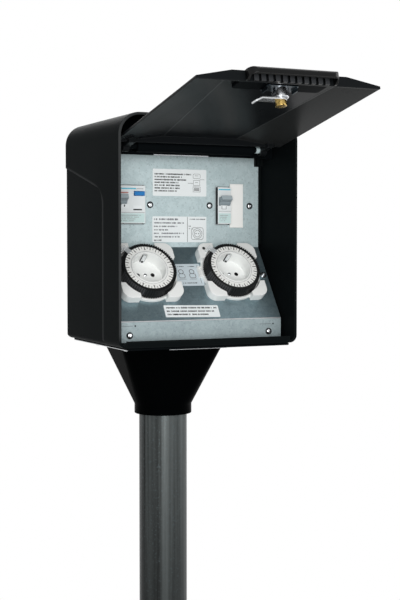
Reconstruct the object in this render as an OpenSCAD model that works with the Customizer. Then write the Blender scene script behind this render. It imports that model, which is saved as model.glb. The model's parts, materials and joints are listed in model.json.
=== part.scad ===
// Garden socket post: a hooded socket head with two timers on a planted steel tube.
// Millimetres, +Z up, front towards -Y, origin at the centre of the tube's lower end.

/* [Post] */
// Outer diameter of the post tube
tube_d = 60.3; // [48:0.1:62]
// Wall of the post tube
tube_wall = 2.9; // [2:0.1:4]
// Height of the hood floor above the lower end of the tube
floor_z = 800; // [400:10:1500]
// Length of tube that stands up inside the hood
tube_rise = 90; // [80:1:94]
// Length of tube set in the ground, up to its depth mark
plant_len = 200; // [100:10:300]

/* [Neck] */
// Width of the neck sleeve at its top
neck_w = 140; // [130:1:160]
// Reach of the neck top to the front of the tube axis
neck_front = 45; // [42:0.5:60]
// Reach of the neck top to the back of the tube axis
neck_back = 38; // [37:0.5:40]
// Corner radius of the neck top
neck_r = 14; // [6:1:20]
// Height of the tapered part of the neck
neck_h = 80; // [50:1:120]
// Diameter of the collar round the tube
collar_d = 72; // [68:0.5:80]
// Height of the collar
collar_h = 12; // [8:0.5:20]
// Wall of the neck sleeve
neck_wall = 3.5; // [2:0.25:5]
// Radius of the neck set screws
set_screw_r = 3; // [2:0.5:4]

/* [Plates] */
// Thickness of the floor plate under the hood
floor_plate_t = 3; // [2:0.25:4]
// Thickness of the head plate inside the neck mouth
head_plate_t = 2; // [1.5:0.25:3]
// Width of the head plate's front tongue
tongue_w = 74; // [40:1:90]
// Reach of the tongue to the front of the tube axis
tongue_front = 108; // [80:1:125]
// Thickness of the back plate
back_plate_t = 3; // [2:0.25:3.5]
// Width of the back plate
back_plate_w = 120; // [110:1:130]
// Height of the back plate above the hood floor
back_plate_h = 145; // [143:1:160]
// Radius of the head bolts
head_bolt_r = 3; // [2:0.5:4]
// Offset of the head bolts from the middle plane
head_bolt_x = 47; // [44:0.5:52]
// Height of the clamp strap
strap_h = 25; // [15:1:30]
// Height of the strap's middle above the hood floor
strap_z = 62; // [50:1:70]

/* [Hood] */
// Outer width of the hood
hood_w = 227.5; // [224:0.5:240]
// Outer height of the hood
hood_h = 265.5; // [262:0.5:300]
// Reach of the hood to the front of the tube axis
hood_front = 142.5; // [140:0.5:144]
// Reach of the hood to the back of the tube axis
hood_back = 42; // [41:0.5:50]
// Wall of the hood
hood_wall = 3.2; // [2.6:0.1:4]
// Radius of the hood's upper edges
hood_r_top = 26; // [16:1:30]
// Radius of the hood's lower edges
hood_r_low = 9; // [6:0.5:9]
// Height of the front lip above the hood's underside
lip_h = 8; // [6:0.5:9]
// Thickness of the front lip
lip_t = 2.2; // [1.5:0.1:2.4]
// Depth of the recessed field on each side
field_depth = 1.3; // [0.6:0.1:1.6]
// Rear height of the recessed field
field_top_rear = 212; // [180:1:225]
// Front height of the recessed field, where its corner begins
field_top_front = 184; // [150:1:210]
// Front edge of the recessed field, from the tube axis
field_front = 88; // [60:1:110]
// Corner radius of the recessed field
field_r = 20; // [8:1:30]
// Thickness of the rear cover
cover_t = 3; // [2:0.25:4]
// Width of the ledge that the rear cover rests on
ledge_w = 7; // [5:0.5:9]

/* [Panel] */
// Clearance between the panel's side edges and the hood's walls
panel_gap = 3.55; // [3:0.05:8]
// Thickness of the panel sheet
panel_t = 1.5; // [1:0.1:2]
// Upper plane of the panel, in front of the tube axis
panel_y = 54.3; // [52:0.1:58]
// Top edge of the panel above the hood floor
panel_top = 226; // [215:0.5:230]
// Height of the upper bend
bend_z = 113.75; // [110:0.25:118]
// Flange plane of the panel, in front of the tube axis
toe_y = 114.6; // [112:0.1:118]
// Height of the lower bend
toe_z = 28.2; // [25:0.1:32]
// Lower edge of the flange
panel_foot = 4; // [3.8:0.1:5]
// Size of the notch in each upper corner
notch = 12; // [8:0.5:15]
// Height of the row of bracket screws
bracket_z = 164.8; // [160:0.1:170]
// Distance of the inner bracket screws from the cut-outs
bracket_gap = 8.1; // [6.6:0.1:10]
// Distance of the outer bracket screws from the panel's side edges
bracket_edge = 12.5; // [10:0.25:13]
// Distance of the flange screws from the panel's side edges
flange_edge = 17; // [12:1:37]
// Height of the flange screws
flange_z = 12.4; // [10:0.1:16]
// Distance of the earth stud from the panel's side edge
stud_edge = 7; // [6:0.5:9]
// Place of the earth stud along the slope, from the upper bend
stud_along = 43.6; // [30:0.1:60]

/* [Breakers] */
// Width of one breaker module
module_w = 18; // [17:0.1:18.2]
// Distance from the panel's side edges to the inner edge of the breaker cut-outs
cut_edge = 59.4; // [58.5:0.1:60]
// Height of the breaker cut-outs
cut_h = 47; // [46.2:0.1:52]
// Height of a breaker's nose
nose_h = 45; // [40:0.5:46]
// How far the nose stands out of the panel
nose_out = 6.5; // [4:0.1:7]
// Height of a breaker's body
breaker_h = 85; // [70:1:88]
// Depth of a breaker from the panel's front to the rail
breaker_d = 45; // [40:0.5:47]
// Height of the rail section
rail_h = 35; // [30:1:38]
// Depth of the rail section
rail_d = 7.5; // [5:0.25:8]
// Radius of a toggle's hub
toggle_r = 5.2; // [4:0.1:6]
// Reach of a toggle from its pivot
toggle_reach = 11; // [9:0.5:14]
// Height of the toggles above the middle of their row
toggle_up = 5; // [2:0.5:6]
// Upward lean of a toggle that is switched on
toggle_lean = 25; // [10:1:35]
// Travel of the test button
button_travel = 1.5; // [1:0.1:2]

/* [Timers] */
// Distance of each timer's axis from the panel's side edge
timer_edge = 51.6; // [49:0.1:52]
// Place of the timers along the slope, from the upper bend
timer_along = 40.2; // [39:0.1:48]
// Width across the corner posts of the timer base
base_w = 77; // [76:0.5:80]
// Thickness of the timer base
base_t = 2; // [1.5:0.25:3]
// Corner radius of the corner posts
post_r = 11; // [8:0.5:13]
// Height of the corner posts above the panel
post_h = 11.5; // [9:0.5:13]
// Distance from the timer's axes to the inner ends of the corner posts
post_in = 17; // [14:0.5:20]
// Distance of the timer screws from the timer's axes
post_at = 30.6; // [30:0.1:31.5]
// Outer radius of the tappet ring
ring_r = 35.5; // [34.5:0.1:35.8]
// Radius of the white dial
dial_r = 30.6; // [27:0.1:31]
// Height of the dial face above the panel
dial_z = 16; // [15:0.25:18]
// Radius of the socket recess
socket_r = 20.5; // [19.5:0.1:21]
// Depth of the socket recess
socket_depth = 17; // [14:0.5:17.5]
// Wall of the socket insert
insert_wall = 1.6; // [1.2:0.1:2]
// Half distance between the socket's contact holes
contact_x = 9.5; // [9:0.1:10]
// Radius of a contact hole
contact_r = 2.6; // [2.3:0.1:3]
// Width of the timer case behind the panel
case_w = 47.5; // [46:0.5:49]
// Depth of the timer case behind the panel
case_d = 35; // [28:0.5:36]
// Travel of an override switch
override_travel = 4; // [2:0.5:5]

/* [Lid] */
// Hinge axis in front of the tube axis
hinge_y = 98; // [96:0.5:100]
// Hinge axis above the hood floor
hinge_z = 231; // [230:0.5:236]
// Angle of the open lid above level
lid_open = 11.6; // [0:0.1:14]
// Clearance between the lid's side edges and the hood's walls
lid_gap = 4.55; // [3:0.05:8]
// Length of the lid from the hinge axis to its free edge
lid_len = 240; // [238.5:0.25:242]
// Start of the lid panel from the hinge axis
lid_start = 14; // [12:0.5:18]
// Thickness of the lid sheet
lid_t = 3; // [2:0.1:3.5]
// Height of the raised middle field of the lid
lid_rise = 8; // [5:0.25:9]
// Half width of the middle field at the hinge
field_in = 47; // [40:0.5:60]
// Half width of the middle field at the free edge
field_out = 66; // [62:0.5:75]
// Radius of the hinge rod
rod_r = 3.5; // [2.5:0.1:4]
// Radius of the hinge knuckles
knuckle_r = 7; // [5:0.25:8]
// Space between the header's knuckle and each lid ear
knuckle_gap = 10; // [5:1:25]
// Distance from the lid's side edges to the inner face of each ear
ear_edge = 21; // [18:0.5:22]
// Width of each lid ear
ear_w = 8; // [5:0.5:9]

/* [Handle and lock] */
// Width of the handle
handle_w = 104; // [90:1:116]
// Reach of the handle past the lid's free edge
handle_reach = 15; // [10:0.5:18]
// Height of the handle above the lid's middle field
handle_rise = 0.5; // [0:0.25:2]
// Wall of the handle
handle_wall = 3; // [2:0.25:4]
// Number of ribs under the handle
rib_count = 11; // [7:1:12]
// Depth of the backing pad along the lid
pad_len = 32; // [30:1:40]
// Thickness of the backing pad
pad_t = 4; // [2.5:0.25:5]
// Distance of the lock from the lid's free edge
lock_back = 25.5; // [24:0.5:27]
// Radius of the lock barrel
barrel_r = 9; // [8:0.25:10]
// Length of the barrel under the lid's edge plane
barrel_drop = 7.5; // [6:0.25:8]
// Radius of the turning plug
plug_r = 6; // [5:0.25:6.5]
// Length of the cam lever from its axis
cam_len = 32; // [28:0.5:34]
// Width of the cam lever
cam_w = 12; // [8:0.5:13]
// Thickness of the cam lever
cam_t = 2; // [1.5:0.25:2.5]

/* [Hidden] */
$fn = 64;
LEFT = -1;
RIGHT = 1;

// Overshoot of a cut past the face it opens
past = 1;
// Clearance between fixed pieces that slip past each other
slip = 0.3;
// Radial clearance of a running fit
run = 0.05;
// Radial clearance of a screw in its own hole
screw_gap = 0.05;
// Radius of the small panel and cover screws, and of their heads
screw_r = 2;
screw_head_r = 4;
screw_head_h = 2.2;

tube_r = tube_d / 2;
collar_r = collar_d / 2;
plate_low = -floor_plate_t;
neck_low = plate_low - neck_h;
floor_top = hood_wall;
inner_w = hood_w - 2 * hood_wall;
inner_top = hood_h - hood_wall;
inner_r_top = hood_r_top - hood_wall;
inner_r_low = max(1, hood_r_low - hood_wall);
flat_x = hood_w / 2 - hood_r_low;
panel_w = inner_w - 2 * panel_gap;
flange_x = panel_w / 2 - flange_edge;
stud_x = panel_w / 2 - stud_edge;
cut_in = panel_w / 2 - cut_edge;
bracket_in = cut_in - bracket_gap;
bracket_out = panel_w / 2 - bracket_edge;
timer_x = panel_w / 2 - timer_edge;
lid_w = inner_w - 2 * lid_gap;
ear_x = lid_w / 2 - ear_edge;
knuckle_x = ear_x - knuckle_gap;
floor_plate_w = 2 * flat_x - 1.5;
plate_edge = 1.5;
foot_t = back_plate_t;
foot_front = 12;
back_y = tube_r + slip;
strap_r = tube_r + slip;
strap_t = back_plate_t;
strap_ear = 15;
clamp_x = strap_r + strap_t + strap_ear / 2;
bolt_head_h = 4;
bolt_head_grow = 2.4;
head_bolt_front = 2;
head_bolt_back = 24;
floor_screw_x = flat_x - 9.75;
floor_screw_y = [-118, -25];
rear_screw_x = inner_w / 2 - 12.5;
rear_screw_z = [22, hood_h - 28];
rear_boss_r = 5;
rear_boss_len = 12;
field_low_corner = field_top_front - field_r;

// Slope of the panel: its tilt from upright and a point on it at a distance from the upper bend
slope_tilt = atan2(toe_y - panel_y, bend_z - toe_z);
function slope_y(along) = -panel_y - along * sin(slope_tilt);
function slope_z(along) = bend_z - along * cos(slope_tilt);

// Header beam that carries the hinge rod
web_front = hinge_y - knuckle_r - 5;
web_t = 3;
web_low = hinge_z - 9;
web_step = hood_h - hood_r_top;
web_half = hood_w / 2 - hood_r_top - 1.5;
header_depth = 24;
header_screw_x = [-60, 0, 60];
header_screw_bite = 1.8;
rod_half = ear_x + ear_w + 2.5;

// Breaker rows
cut_w = 2 * module_w + 1;
nose_y = -panel_y - nose_out;
shoulder_y = -panel_y + panel_t + 1.8;
rail_y = -panel_y + breaker_d;
mcb_x = cut_in + 0.5 + module_w / 2;
rcd_x = -cut_in - 0.5 - module_w;
rcd_w = 2 * module_w;
filler_x = mcb_x + module_w + 0.3;
filler_h = 54;
filler_t = 2.7;
bracket_foot = 10;
bracket_h = 14;
bracket_t = 1.5;
rail_t = 1;
rail_lip = 4;
toggle_y = nose_y + 2.3;
toggle_z = bracket_z + toggle_up;
mcb_toggle_w = module_w - 3.4;
rcd_toggle_w = 11;
rcd_toggle_x = rcd_x - rcd_w / 2 + 6.5;
button_w = 13;
button_h = 5;
button_x = rcd_x + rcd_w / 2 - 8;
button_z = bracket_z + 13;
button_out = 2;
button_depth = 5;

// Timer stack, measured from the slope's front face
insert_r = socket_r + insert_wall;
insert_top = dial_z + 0.8;
insert_floor_t = 3;
recess_floor = insert_top - socket_depth;
insert_foot = recess_floor - insert_floor_t;
boss_h = 6;
boss_r = insert_r - 3;
insert_low = insert_foot - boss_h;
well_r = ring_r + 1.1;
rim_r = well_r + 2;
rim_h = 4.5;
ring_low = base_t + 0.8;
ring_top = dial_z + 0.6;
dial_t = 2.4;
dial_edge_gap = 0.2;
clip_w = 5;
clip_t = 0.9;
pointer_gap = 0.8;
pointer_t = 1.6;
override_w = 3;
override_len = 7;
override_h = 4;
override_x = -rim_r - 0.7;
shelf_edge = 1.6;
case_wall = 2.2;

// Lid stack, measured from the lid's edge plane
lid_in = lid_rise;
lid_out = lid_rise + lid_t;
lock_u = lid_len - lock_back;
pad_end = lid_len - lid_t - 1;
visor_end = lid_len + handle_reach;
visor_low = 4.6;
skirt_low = 0.2;
visor_top = lid_out + handle_rise;
visor_r = 4;
visor_corner = 11;
visor_inner_r = 4;
rib_t = 5.4;
rib_depth = 3;
barrel_flange_r = barrel_r + 2.5;
barrel_flange_t = 1.5;
clip_plate_t = 1.2;
clip_plate_w = 36;
clip_plate_len = 20;
cam_top = -barrel_drop - 0.5;
cam_bend = 8;
cam_bend_angle = 25;
cam_screw_r = 6;
cam_screw_h = 6;
cam_shank_r = 2.5;
key_w = 1.6;
key_len = 7;
slot_front = hood_front - lip_t;
slot_depth = 9;
slot_left = cam_len - 0.5;
slot_right = 10;

// Terminal block on the back plate, above the tube
terminal_w = 72;
terminal_d = 18;
terminal_h = 24;
terminal_z = tube_rise + 26;
terminal_count = 6;
terminal_pitch = 11;
wire_r = 1.8;
wire_pair = 8;
wire_step = 5;
wire_entry = 16;
earth_drop = 10;
stud_tail = 7.6;
grommet_t = 3;
grommet_drop = 8;

BLACK = "#1b1c1e";
STEEL = "#aeb6bb";
ZINC = "#c3c7c9";
WHITE = "#e9e8e2";
GREY = "#cfd3d4";
DARK = "#4b5157";
BRASS = "#c2a14a";

// Moves a piece from hood heights, counted from the hood's underside, to the part's frame
module at_floor() {
    translate([0, 0, floor_z]) children();
}

// Places a piece on the panel's slope: local Z leaves the slope, local Y climbs it
module at_slope(x, along) {
    translate([x, slope_y(along), floor_z + slope_z(along)]) rotate([90 - slope_tilt, 0, 0]) children();
}

module at_timer(side) {
    at_slope(side * timer_x, timer_along) children();
}

// Places a piece on the lid: local -Y runs from the hinge to the free edge, local Z leaves the outside
module at_lid() {
    translate([0, -hinge_y, floor_z + hinge_z]) rotate([-lid_open, 0, 0]) children();
}

module at_lock() {
    at_lid() translate([0, -lock_u, 0]) children();
}

// Upright outline with its own upper and lower corner radii, its foot on the X axis
module arch_outline(w, h, r_top, r_low) {
    translate([-w / 2, r_low]) square([w, h - r_top - r_low]);
    translate([-w / 2 + r_low, 0]) square([w - 2 * r_low, h - r_top]);
    translate([-w / 2 + r_top, r_low]) square([w - 2 * r_top, h - r_low]);
    for (s = [LEFT, RIGHT]) {
        translate([s * (w / 2 - r_top), h - r_top]) circle(r = r_top);
        translate([s * (w / 2 - r_low), r_low]) circle(r = r_low);
    }
}

// Flat outline with equal round corners, centred
module round_outline(w, d, r) {
    square([w - 2 * r, d], center = true);
    square([w, d - 2 * r], center = true);
    for (sx = [LEFT, RIGHT], sy = [-1, 1]) {
        translate([sx * (w / 2 - r), sy * (d / 2 - r)]) circle(r = r);
    }
}

module round_block(w, d, h, r) {
    linear_extrude(h) round_outline(w, d, r);
}

// Prism of an upright outline, from depth y_back forward by a length
module forward_prism(y_back, length) {
    translate([0, y_back, 0]) rotate([90, 0, 0]) linear_extrude(length) children();
}

// Prism of an outline drawn in Y and Z, centred on the middle plane
module cross_prism(w) {
    rotate([90, 0, 90]) translate([0, 0, -w / 2]) linear_extrude(w) children();
}

// Pan head screw along Z, its head above the plane z = 0 and its shank below
module pan_screw(r, head_r, head_h, shank) {
    rotate_extrude() polygon([
        [0, -shank], [r, -shank], [r, 0], [head_r, 0], [head_r, head_h * 0.55],
        [head_r * 0.7, head_h], [0, head_h]
    ]);
}

// Tube with a shallow groove that marks how deep it is planted
module post_tube() {
    tube_len = floor_z + tube_rise;
    mark_w = 2;
    mark_depth = 0.4;
    color(STEEL) difference() {
        cylinder(r = tube_r, h = tube_len);
        translate([0, 0, -past]) cylinder(r = tube_r - tube_wall, h = tube_len + 2 * past);
        translate([0, 0, plant_len]) difference() {
            cylinder(r = tube_r + past, h = mark_w);
            cylinder(r = tube_r - mark_depth, h = mark_w);
        }
    }
}

module neck_top_slab(inset, h) {
    translate([0, (neck_back - neck_front) / 2, plate_low - 1])
        round_block(neck_w - 2 * inset, neck_front + neck_back - 2 * inset, h, neck_r - inset);
}

module neck_sleeve() {
    color(BLACK) at_floor() difference() {
        union() {
            hull() {
                neck_top_slab(0, 1, $fn = 32);
                translate([0, 0, neck_low]) cylinder(r = collar_r, h = 1);
            }
            translate([0, 0, neck_low - collar_h]) cylinder(r = collar_r, h = collar_h + 1);
        }
        hull() {
            neck_top_slab(neck_wall, 1 + past, $fn = 32);
            translate([0, 0, neck_low + neck_wall]) cylinder(r = collar_r - neck_wall, h = 1);
        }
        translate([0, 0, neck_low - collar_h - past])
            cylinder(r = tube_r + run, h = neck_h + collar_h);
        translate([0, -neck_front, plate_low])
            cube([tongue_w + 2 * slip, 4 * neck_wall, 2 * (head_plate_t + slip)], center = true);
        neck_screw_places() cylinder(r = set_screw_r + screw_gap, h = collar_d);
    }
}

module neck_screw_places() {
    for (turn = [45, 135]) {
        rotate([0, 0, turn]) translate([tube_r, 0, neck_low - collar_h / 2]) rotate([0, 90, 0])
            children();
    }
}

module neck_screws() {
    color(ZINC) at_floor() neck_screw_places() difference() {
        cylinder(r = set_screw_r, h = collar_r - tube_r + 1);
        translate([0, 0, collar_r - tube_r - 1]) cylinder(r = set_screw_r / 2, h = 2 + past, $fn = 6);
    }
}

module head_bolt_places() {
    for (s = [LEFT, RIGHT], y = [-head_bolt_front, head_bolt_back]) {
        translate([s * head_bolt_x, y, 0]) children();
    }
}

module head_plate() {
    inset = neck_wall + 2 * slip;
    color(STEEL) at_floor() difference() {
        union() {
            translate([0, (neck_back - neck_front) / 2, plate_low - head_plate_t])
                round_block(neck_w - 2 * inset, neck_front + neck_back - 2 * inset, head_plate_t,
                    neck_r - inset);
            translate([-tongue_w / 2, -tongue_front, plate_low - head_plate_t])
                cube([tongue_w, tongue_front, head_plate_t]);
        }
        translate([0, 0, plate_low - head_plate_t - past])
            cylinder(r = tube_r + slip, h = head_plate_t + 2 * past);
        translate([0, 0, plate_low - head_plate_t - past]) head_bolt_places()
            cylinder(r = head_bolt_r + screw_gap, h = head_plate_t + 2 * past);
    }
}

// Each bolt runs from under the head plate to a nut on the back plate's foot
module head_bolts() {
    head_r = head_bolt_r + bolt_head_grow;
    low = plate_low - head_plate_t;
    top = floor_top + foot_t;
    color(ZINC) at_floor() head_bolt_places() {
        translate([0, 0, low - bolt_head_h]) cylinder(r = head_r, h = bolt_head_h, $fn = 6);
        translate([0, 0, low - 1]) cylinder(r = head_bolt_r, h = top - low + bolt_head_h + 3);
        translate([0, 0, top]) cylinder(r = head_r, h = bolt_head_h, $fn = 6);
    }
}

// Opening in floor and floor plate for the lock's cam
module cam_slot(low, top) {
    translate([-slot_left, -slot_front, low]) cube([slot_left + slot_right, slot_depth, top - low]);
}

module floor_screw_places() {
    for (s = [LEFT, RIGHT], y = floor_screw_y) {
        translate([s * floor_screw_x, y, 0]) children();
    }
}

module floor_plate() {
    depth = hood_front + hood_back - 2 * plate_edge;
    color(BLACK) at_floor() difference() {
        translate([-floor_plate_w / 2, -hood_front + plate_edge, plate_low])
            cube([floor_plate_w, depth, floor_plate_t]);
        translate([0, 0, plate_low - past]) cylinder(r = tube_r + slip, h = floor_plate_t + 2 * past);
        translate([0, 0, plate_low - past]) {
            head_bolt_places() cylinder(r = head_bolt_r + screw_gap, h = floor_plate_t + 2 * past);
            floor_screw_places() cylinder(r = screw_r + screw_gap, h = floor_plate_t + 2 * past);
        }
        cam_slot(plate_low - past, past);
    }
}

module floor_screws() {
    color(ZINC) at_floor() floor_screw_places() translate([0, 0, plate_low]) mirror([0, 0, 1])
        pan_screw(screw_r, screw_head_r, screw_head_h, floor_plate_t + hood_wall - 0.4);
}

// Recessed field of a hood side, drawn in Y and Z: a sloping top and one round corner
module field_outline() {
    corner_z = field_low_corner;
    corner_y = -field_front + field_r;
    rise = (field_top_rear - field_top_front) / (hood_back + field_front - field_r);
    turn = atan(rise);
    polygon(concat(
        [[hood_back + past, -past], [hood_back + past, field_top_rear]],
        [for (a = [90 + turn : (90 - turn) / 8 : 180.01])
            [corner_y + field_r * cos(a), corner_z + field_r * sin(a)]],
        [[-field_front, -past]]
    ));
}

module side_fields() {
    for (s = [LEFT, RIGHT]) {
        translate([s * hood_w / 2, 0, 0]) cross_prism(2 * field_depth) field_outline();
    }
}

module rear_screw_places() {
    for (s = [LEFT, RIGHT], z = rear_screw_z) {
        translate([s * rear_screw_x, hood_back, z]) rotate([-90, 0, 0]) children();
    }
}

// Bosses that the panel's flange and its two side edges are set against
module panel_rests() {
    rest_w = 16;
    rest_d = 10;
    edge_w = (inner_w - panel_w) / 2 + 3 + past;
    edge_t = 3;
    edge_low = bend_z + 4;
    ear_out = 4;
    ear_wide = notch / 2 + past;
    ear_low = panel_top - notch + 1;
    for (s = [LEFT, RIGHT]) {
        translate([s * flange_x - rest_w / 2, -toe_y + panel_t, floor_top - past])
            cube([rest_w, rest_d, toe_z - floor_top - 8]);
        translate([s * (inner_w / 2 + past) - (1 + s) / 2 * edge_w, -panel_y + panel_t, edge_low])
            cube([edge_w, edge_t, panel_top - edge_low]);
        translate([s * inner_w / 2 - (1 + s) / 2 * notch / 2 - past / 2, -panel_y - ear_out, ear_low])
            cube([ear_wide, ear_out + panel_t, notch - 2]);
    }
}

module hood_shell() {
    length = hood_front + hood_back;
    inner_h = hood_h - 2 * hood_wall;
    ledge_y = hood_back - cover_t;
    ledge_t = ledge_w / 2;
    color(BLACK) at_floor() difference() {
        union() {
            difference() {
                forward_prism(hood_back, length) arch_outline(hood_w, hood_h, hood_r_top, hood_r_low);
                translate([0, 0, hood_wall]) forward_prism(hood_back + past, length + 2 * past)
                    arch_outline(inner_w, inner_h, inner_r_top, inner_r_low);
            }
            translate([-flat_x, -hood_front, floor_top - past])
                cube([2 * flat_x, lip_t, lip_h - floor_top + past]);
            difference() {
                translate([0, 0, hood_wall - past]) forward_prism(ledge_y, ledge_t)
                    arch_outline(inner_w + past, inner_h + 2 * past, inner_r_top, inner_r_low);
                translate([0, 0, hood_wall + ledge_w]) forward_prism(ledge_y + past, ledge_t + 2 * past)
                    arch_outline(inner_w - 2 * ledge_w, inner_h - 2 * ledge_w, inner_r_top - ledge_w, 1);
            }
            rear_screw_places() translate([0, 0, -cover_t - rear_boss_len])
                cylinder(r = rear_boss_r, h = rear_boss_len);
            panel_rests();
        }
        side_fields();
        rear_screw_places() translate([0, 0, -cover_t - rear_boss_len + 2])
            cylinder(r = screw_r + screw_gap, h = rear_boss_len + cover_t);
        translate([0, 0, -past]) {
            cylinder(r = tube_r + slip, h = hood_wall + 2 * past);
            head_bolt_places() cylinder(r = head_bolt_r + screw_gap, h = hood_wall + 2 * past);
            floor_screw_places() cylinder(r = screw_r + screw_gap, h = hood_wall + 2 * past);
        }
        cam_slot(-past, floor_top + past);
        for (x = header_screw_x) {
            translate([x, -web_front + web_t + header_depth / 2, inner_top - past])
                cylinder(r = screw_r + screw_gap, h = header_screw_bite + past);
        }
        for (s = [LEFT, RIGHT]) {
            translate([s * flange_x, -toe_y, flange_z]) rotate([-90, 0, 0])
                cylinder(r = screw_r + screw_gap, h = panel_t + 8);
        }
    }
}

module rear_cover() {
    color(BLACK) at_floor() difference() {
        translate([0, 0, hood_wall + slip]) forward_prism(hood_back, cover_t)
            arch_outline(inner_w - 2 * slip, hood_h - 2 * hood_wall - 2 * slip, inner_r_top - slip,
                inner_r_low - slip);
        rear_screw_places() translate([0, 0, -cover_t - past])
            cylinder(r = screw_r + screw_gap, h = cover_t + 2 * past);
    }
}

module rear_cover_screws() {
    color(ZINC) at_floor() rear_screw_places()
        pan_screw(screw_r, screw_head_r, screw_head_h, cover_t + rear_boss_len - 3);
}

module clamp_places() {
    for (s = [LEFT, RIGHT]) {
        translate([s * clamp_x, back_y, strap_z]) rotate([90, 0, 0]) children();
    }
}

module back_plate() {
    foot_in = tube_r + 4;
    foot_w = back_plate_w / 2 - foot_in;
    window_w = 2 * grommet_t + tube_r;
    color(STEEL) at_floor() difference() {
        union() {
            translate([-back_plate_w / 2, back_y, floor_top])
                cube([back_plate_w, back_plate_t, back_plate_h - floor_top]);
            for (s = [LEFT, RIGHT]) {
                translate([s * foot_in + (s - 1) / 2 * foot_w, -foot_front, floor_top])
                    cube([foot_w, foot_front + back_y + 1, foot_t]);
            }
        }
        translate([0, back_y, tube_rise + (grommet_t - grommet_drop) / 2])
            cube([window_w, 3 * back_plate_t, grommet_t + grommet_drop + 2 * past], center = true);
        translate([0, 0, floor_top - past]) head_bolt_places()
            cylinder(r = head_bolt_r + screw_gap, h = foot_t + 2 * past);
        clamp_places() translate([0, 0, -back_plate_t - past])
            cylinder(r = head_bolt_r + screw_gap, h = back_plate_t + 2 * past);
    }
}

module clamp_strap() {
    ear_half = strap_r + strap_t + strap_ear;
    color(STEEL) at_floor() difference() {
        translate([0, 0, strap_z - strap_h / 2]) linear_extrude(strap_h) difference() {
            union() {
                circle(r = strap_r + strap_t);
                translate([-strap_r - strap_t, 0]) square([2 * (strap_r + strap_t), back_y]);
                translate([-ear_half, back_y - strap_t]) square([2 * ear_half, strap_t]);
            }
            circle(r = strap_r);
            translate([-strap_r, 0]) square([2 * strap_r, strap_r + strap_t + past]);
        }
        clamp_places() translate([0, 0, -past])
            cylinder(r = head_bolt_r + screw_gap, h = strap_t + 2 * past);
    }
}

module clamp_bolts() {
    head_r = head_bolt_r + bolt_head_grow;
    color(ZINC) at_floor() clamp_places() {
        translate([0, 0, strap_t]) cylinder(r = head_r, h = bolt_head_h, $fn = 6);
        translate([0, 0, -back_plate_t - bolt_head_h])
            cylinder(r = head_bolt_r, h = back_plate_t + bolt_head_h + strap_t + 1);
        translate([0, 0, -back_plate_t - bolt_head_h + 0.5])
            cylinder(r = head_r, h = bolt_head_h - 0.5, $fn = 6);
    }
}

module hinge_header() {
    beam_half = inner_w / 2 - 0.6;
    bridge_h = 10;
    color(BLACK) at_floor() difference() {
        union() {
            translate([-beam_half, -web_front, web_low]) cube([2 * beam_half, web_t, web_step - web_low]);
            translate([-web_half, -web_front, web_low]) cube([2 * web_half, web_t, inner_top - web_low]);
            translate([-web_half, -web_front, inner_top - web_t])
                cube([2 * web_half, web_t + header_depth, web_t]);
            translate([-knuckle_x, -hinge_y, hinge_z - bridge_h / 2])
                cube([2 * knuckle_x, hinge_y - web_front + 1, bridge_h]);
            translate([-knuckle_x, -hinge_y, hinge_z]) rotate([0, 90, 0])
                cylinder(r = knuckle_r, h = 2 * knuckle_x);
        }
        translate([-knuckle_x - past, -hinge_y, hinge_z]) rotate([0, 90, 0])
            cylinder(r = rod_r + screw_gap, h = 2 * knuckle_x + 2 * past);
        for (x = header_screw_x) {
            translate([x, -web_front + web_t + header_depth / 2, inner_top - web_t - past])
                cylinder(r = screw_r + screw_gap, h = web_t + 2 * past);
        }
    }
}

module header_screws() {
    color(ZINC) at_floor() for (x = header_screw_x) {
        translate([x, -web_front + web_t + header_depth / 2, inner_top - web_t]) mirror([0, 0, 1])
            pan_screw(screw_r, screw_head_r, screw_head_h, web_t + header_screw_bite - 0.3);
    }
}

// Rod with a push-on cap at each end, outside the lid's ears
module hinge_rod() {
    cap_t = 2;
    color(ZINC) at_floor() translate([-rod_half, -hinge_y, hinge_z]) rotate([0, 90, 0]) {
        cylinder(r = rod_r, h = 2 * rod_half);
        cylinder(r = rod_r + 1.5, h = cap_t);
        translate([0, 0, 2 * rod_half - cap_t]) cylinder(r = rod_r + 1.5, h = cap_t);
    }
}

// Bent section of the panel, drawn in Y and Z, front face first
module panel_section() {
    shift = panel_t * tan(slope_tilt / 2);
    polygon([
        [-panel_y, panel_top], [-panel_y, bend_z], [-toe_y, toe_z], [-toe_y, panel_foot],
        [-toe_y + panel_t, panel_foot], [-toe_y + panel_t, toe_z - shift],
        [-panel_y + panel_t, bend_z - shift], [-panel_y + panel_t, panel_top]
    ]);
}

module bracket_screw_places() {
    for (s = [LEFT, RIGHT], x = [bracket_in, bracket_out]) {
        translate([s * x, -panel_y, bracket_z]) rotate([90, 0, 0]) children();
    }
}

module flange_screw_places() {
    for (s = [LEFT, RIGHT]) {
        translate([s * flange_x, -toe_y, flange_z]) rotate([90, 0, 0]) children();
    }
}

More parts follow.
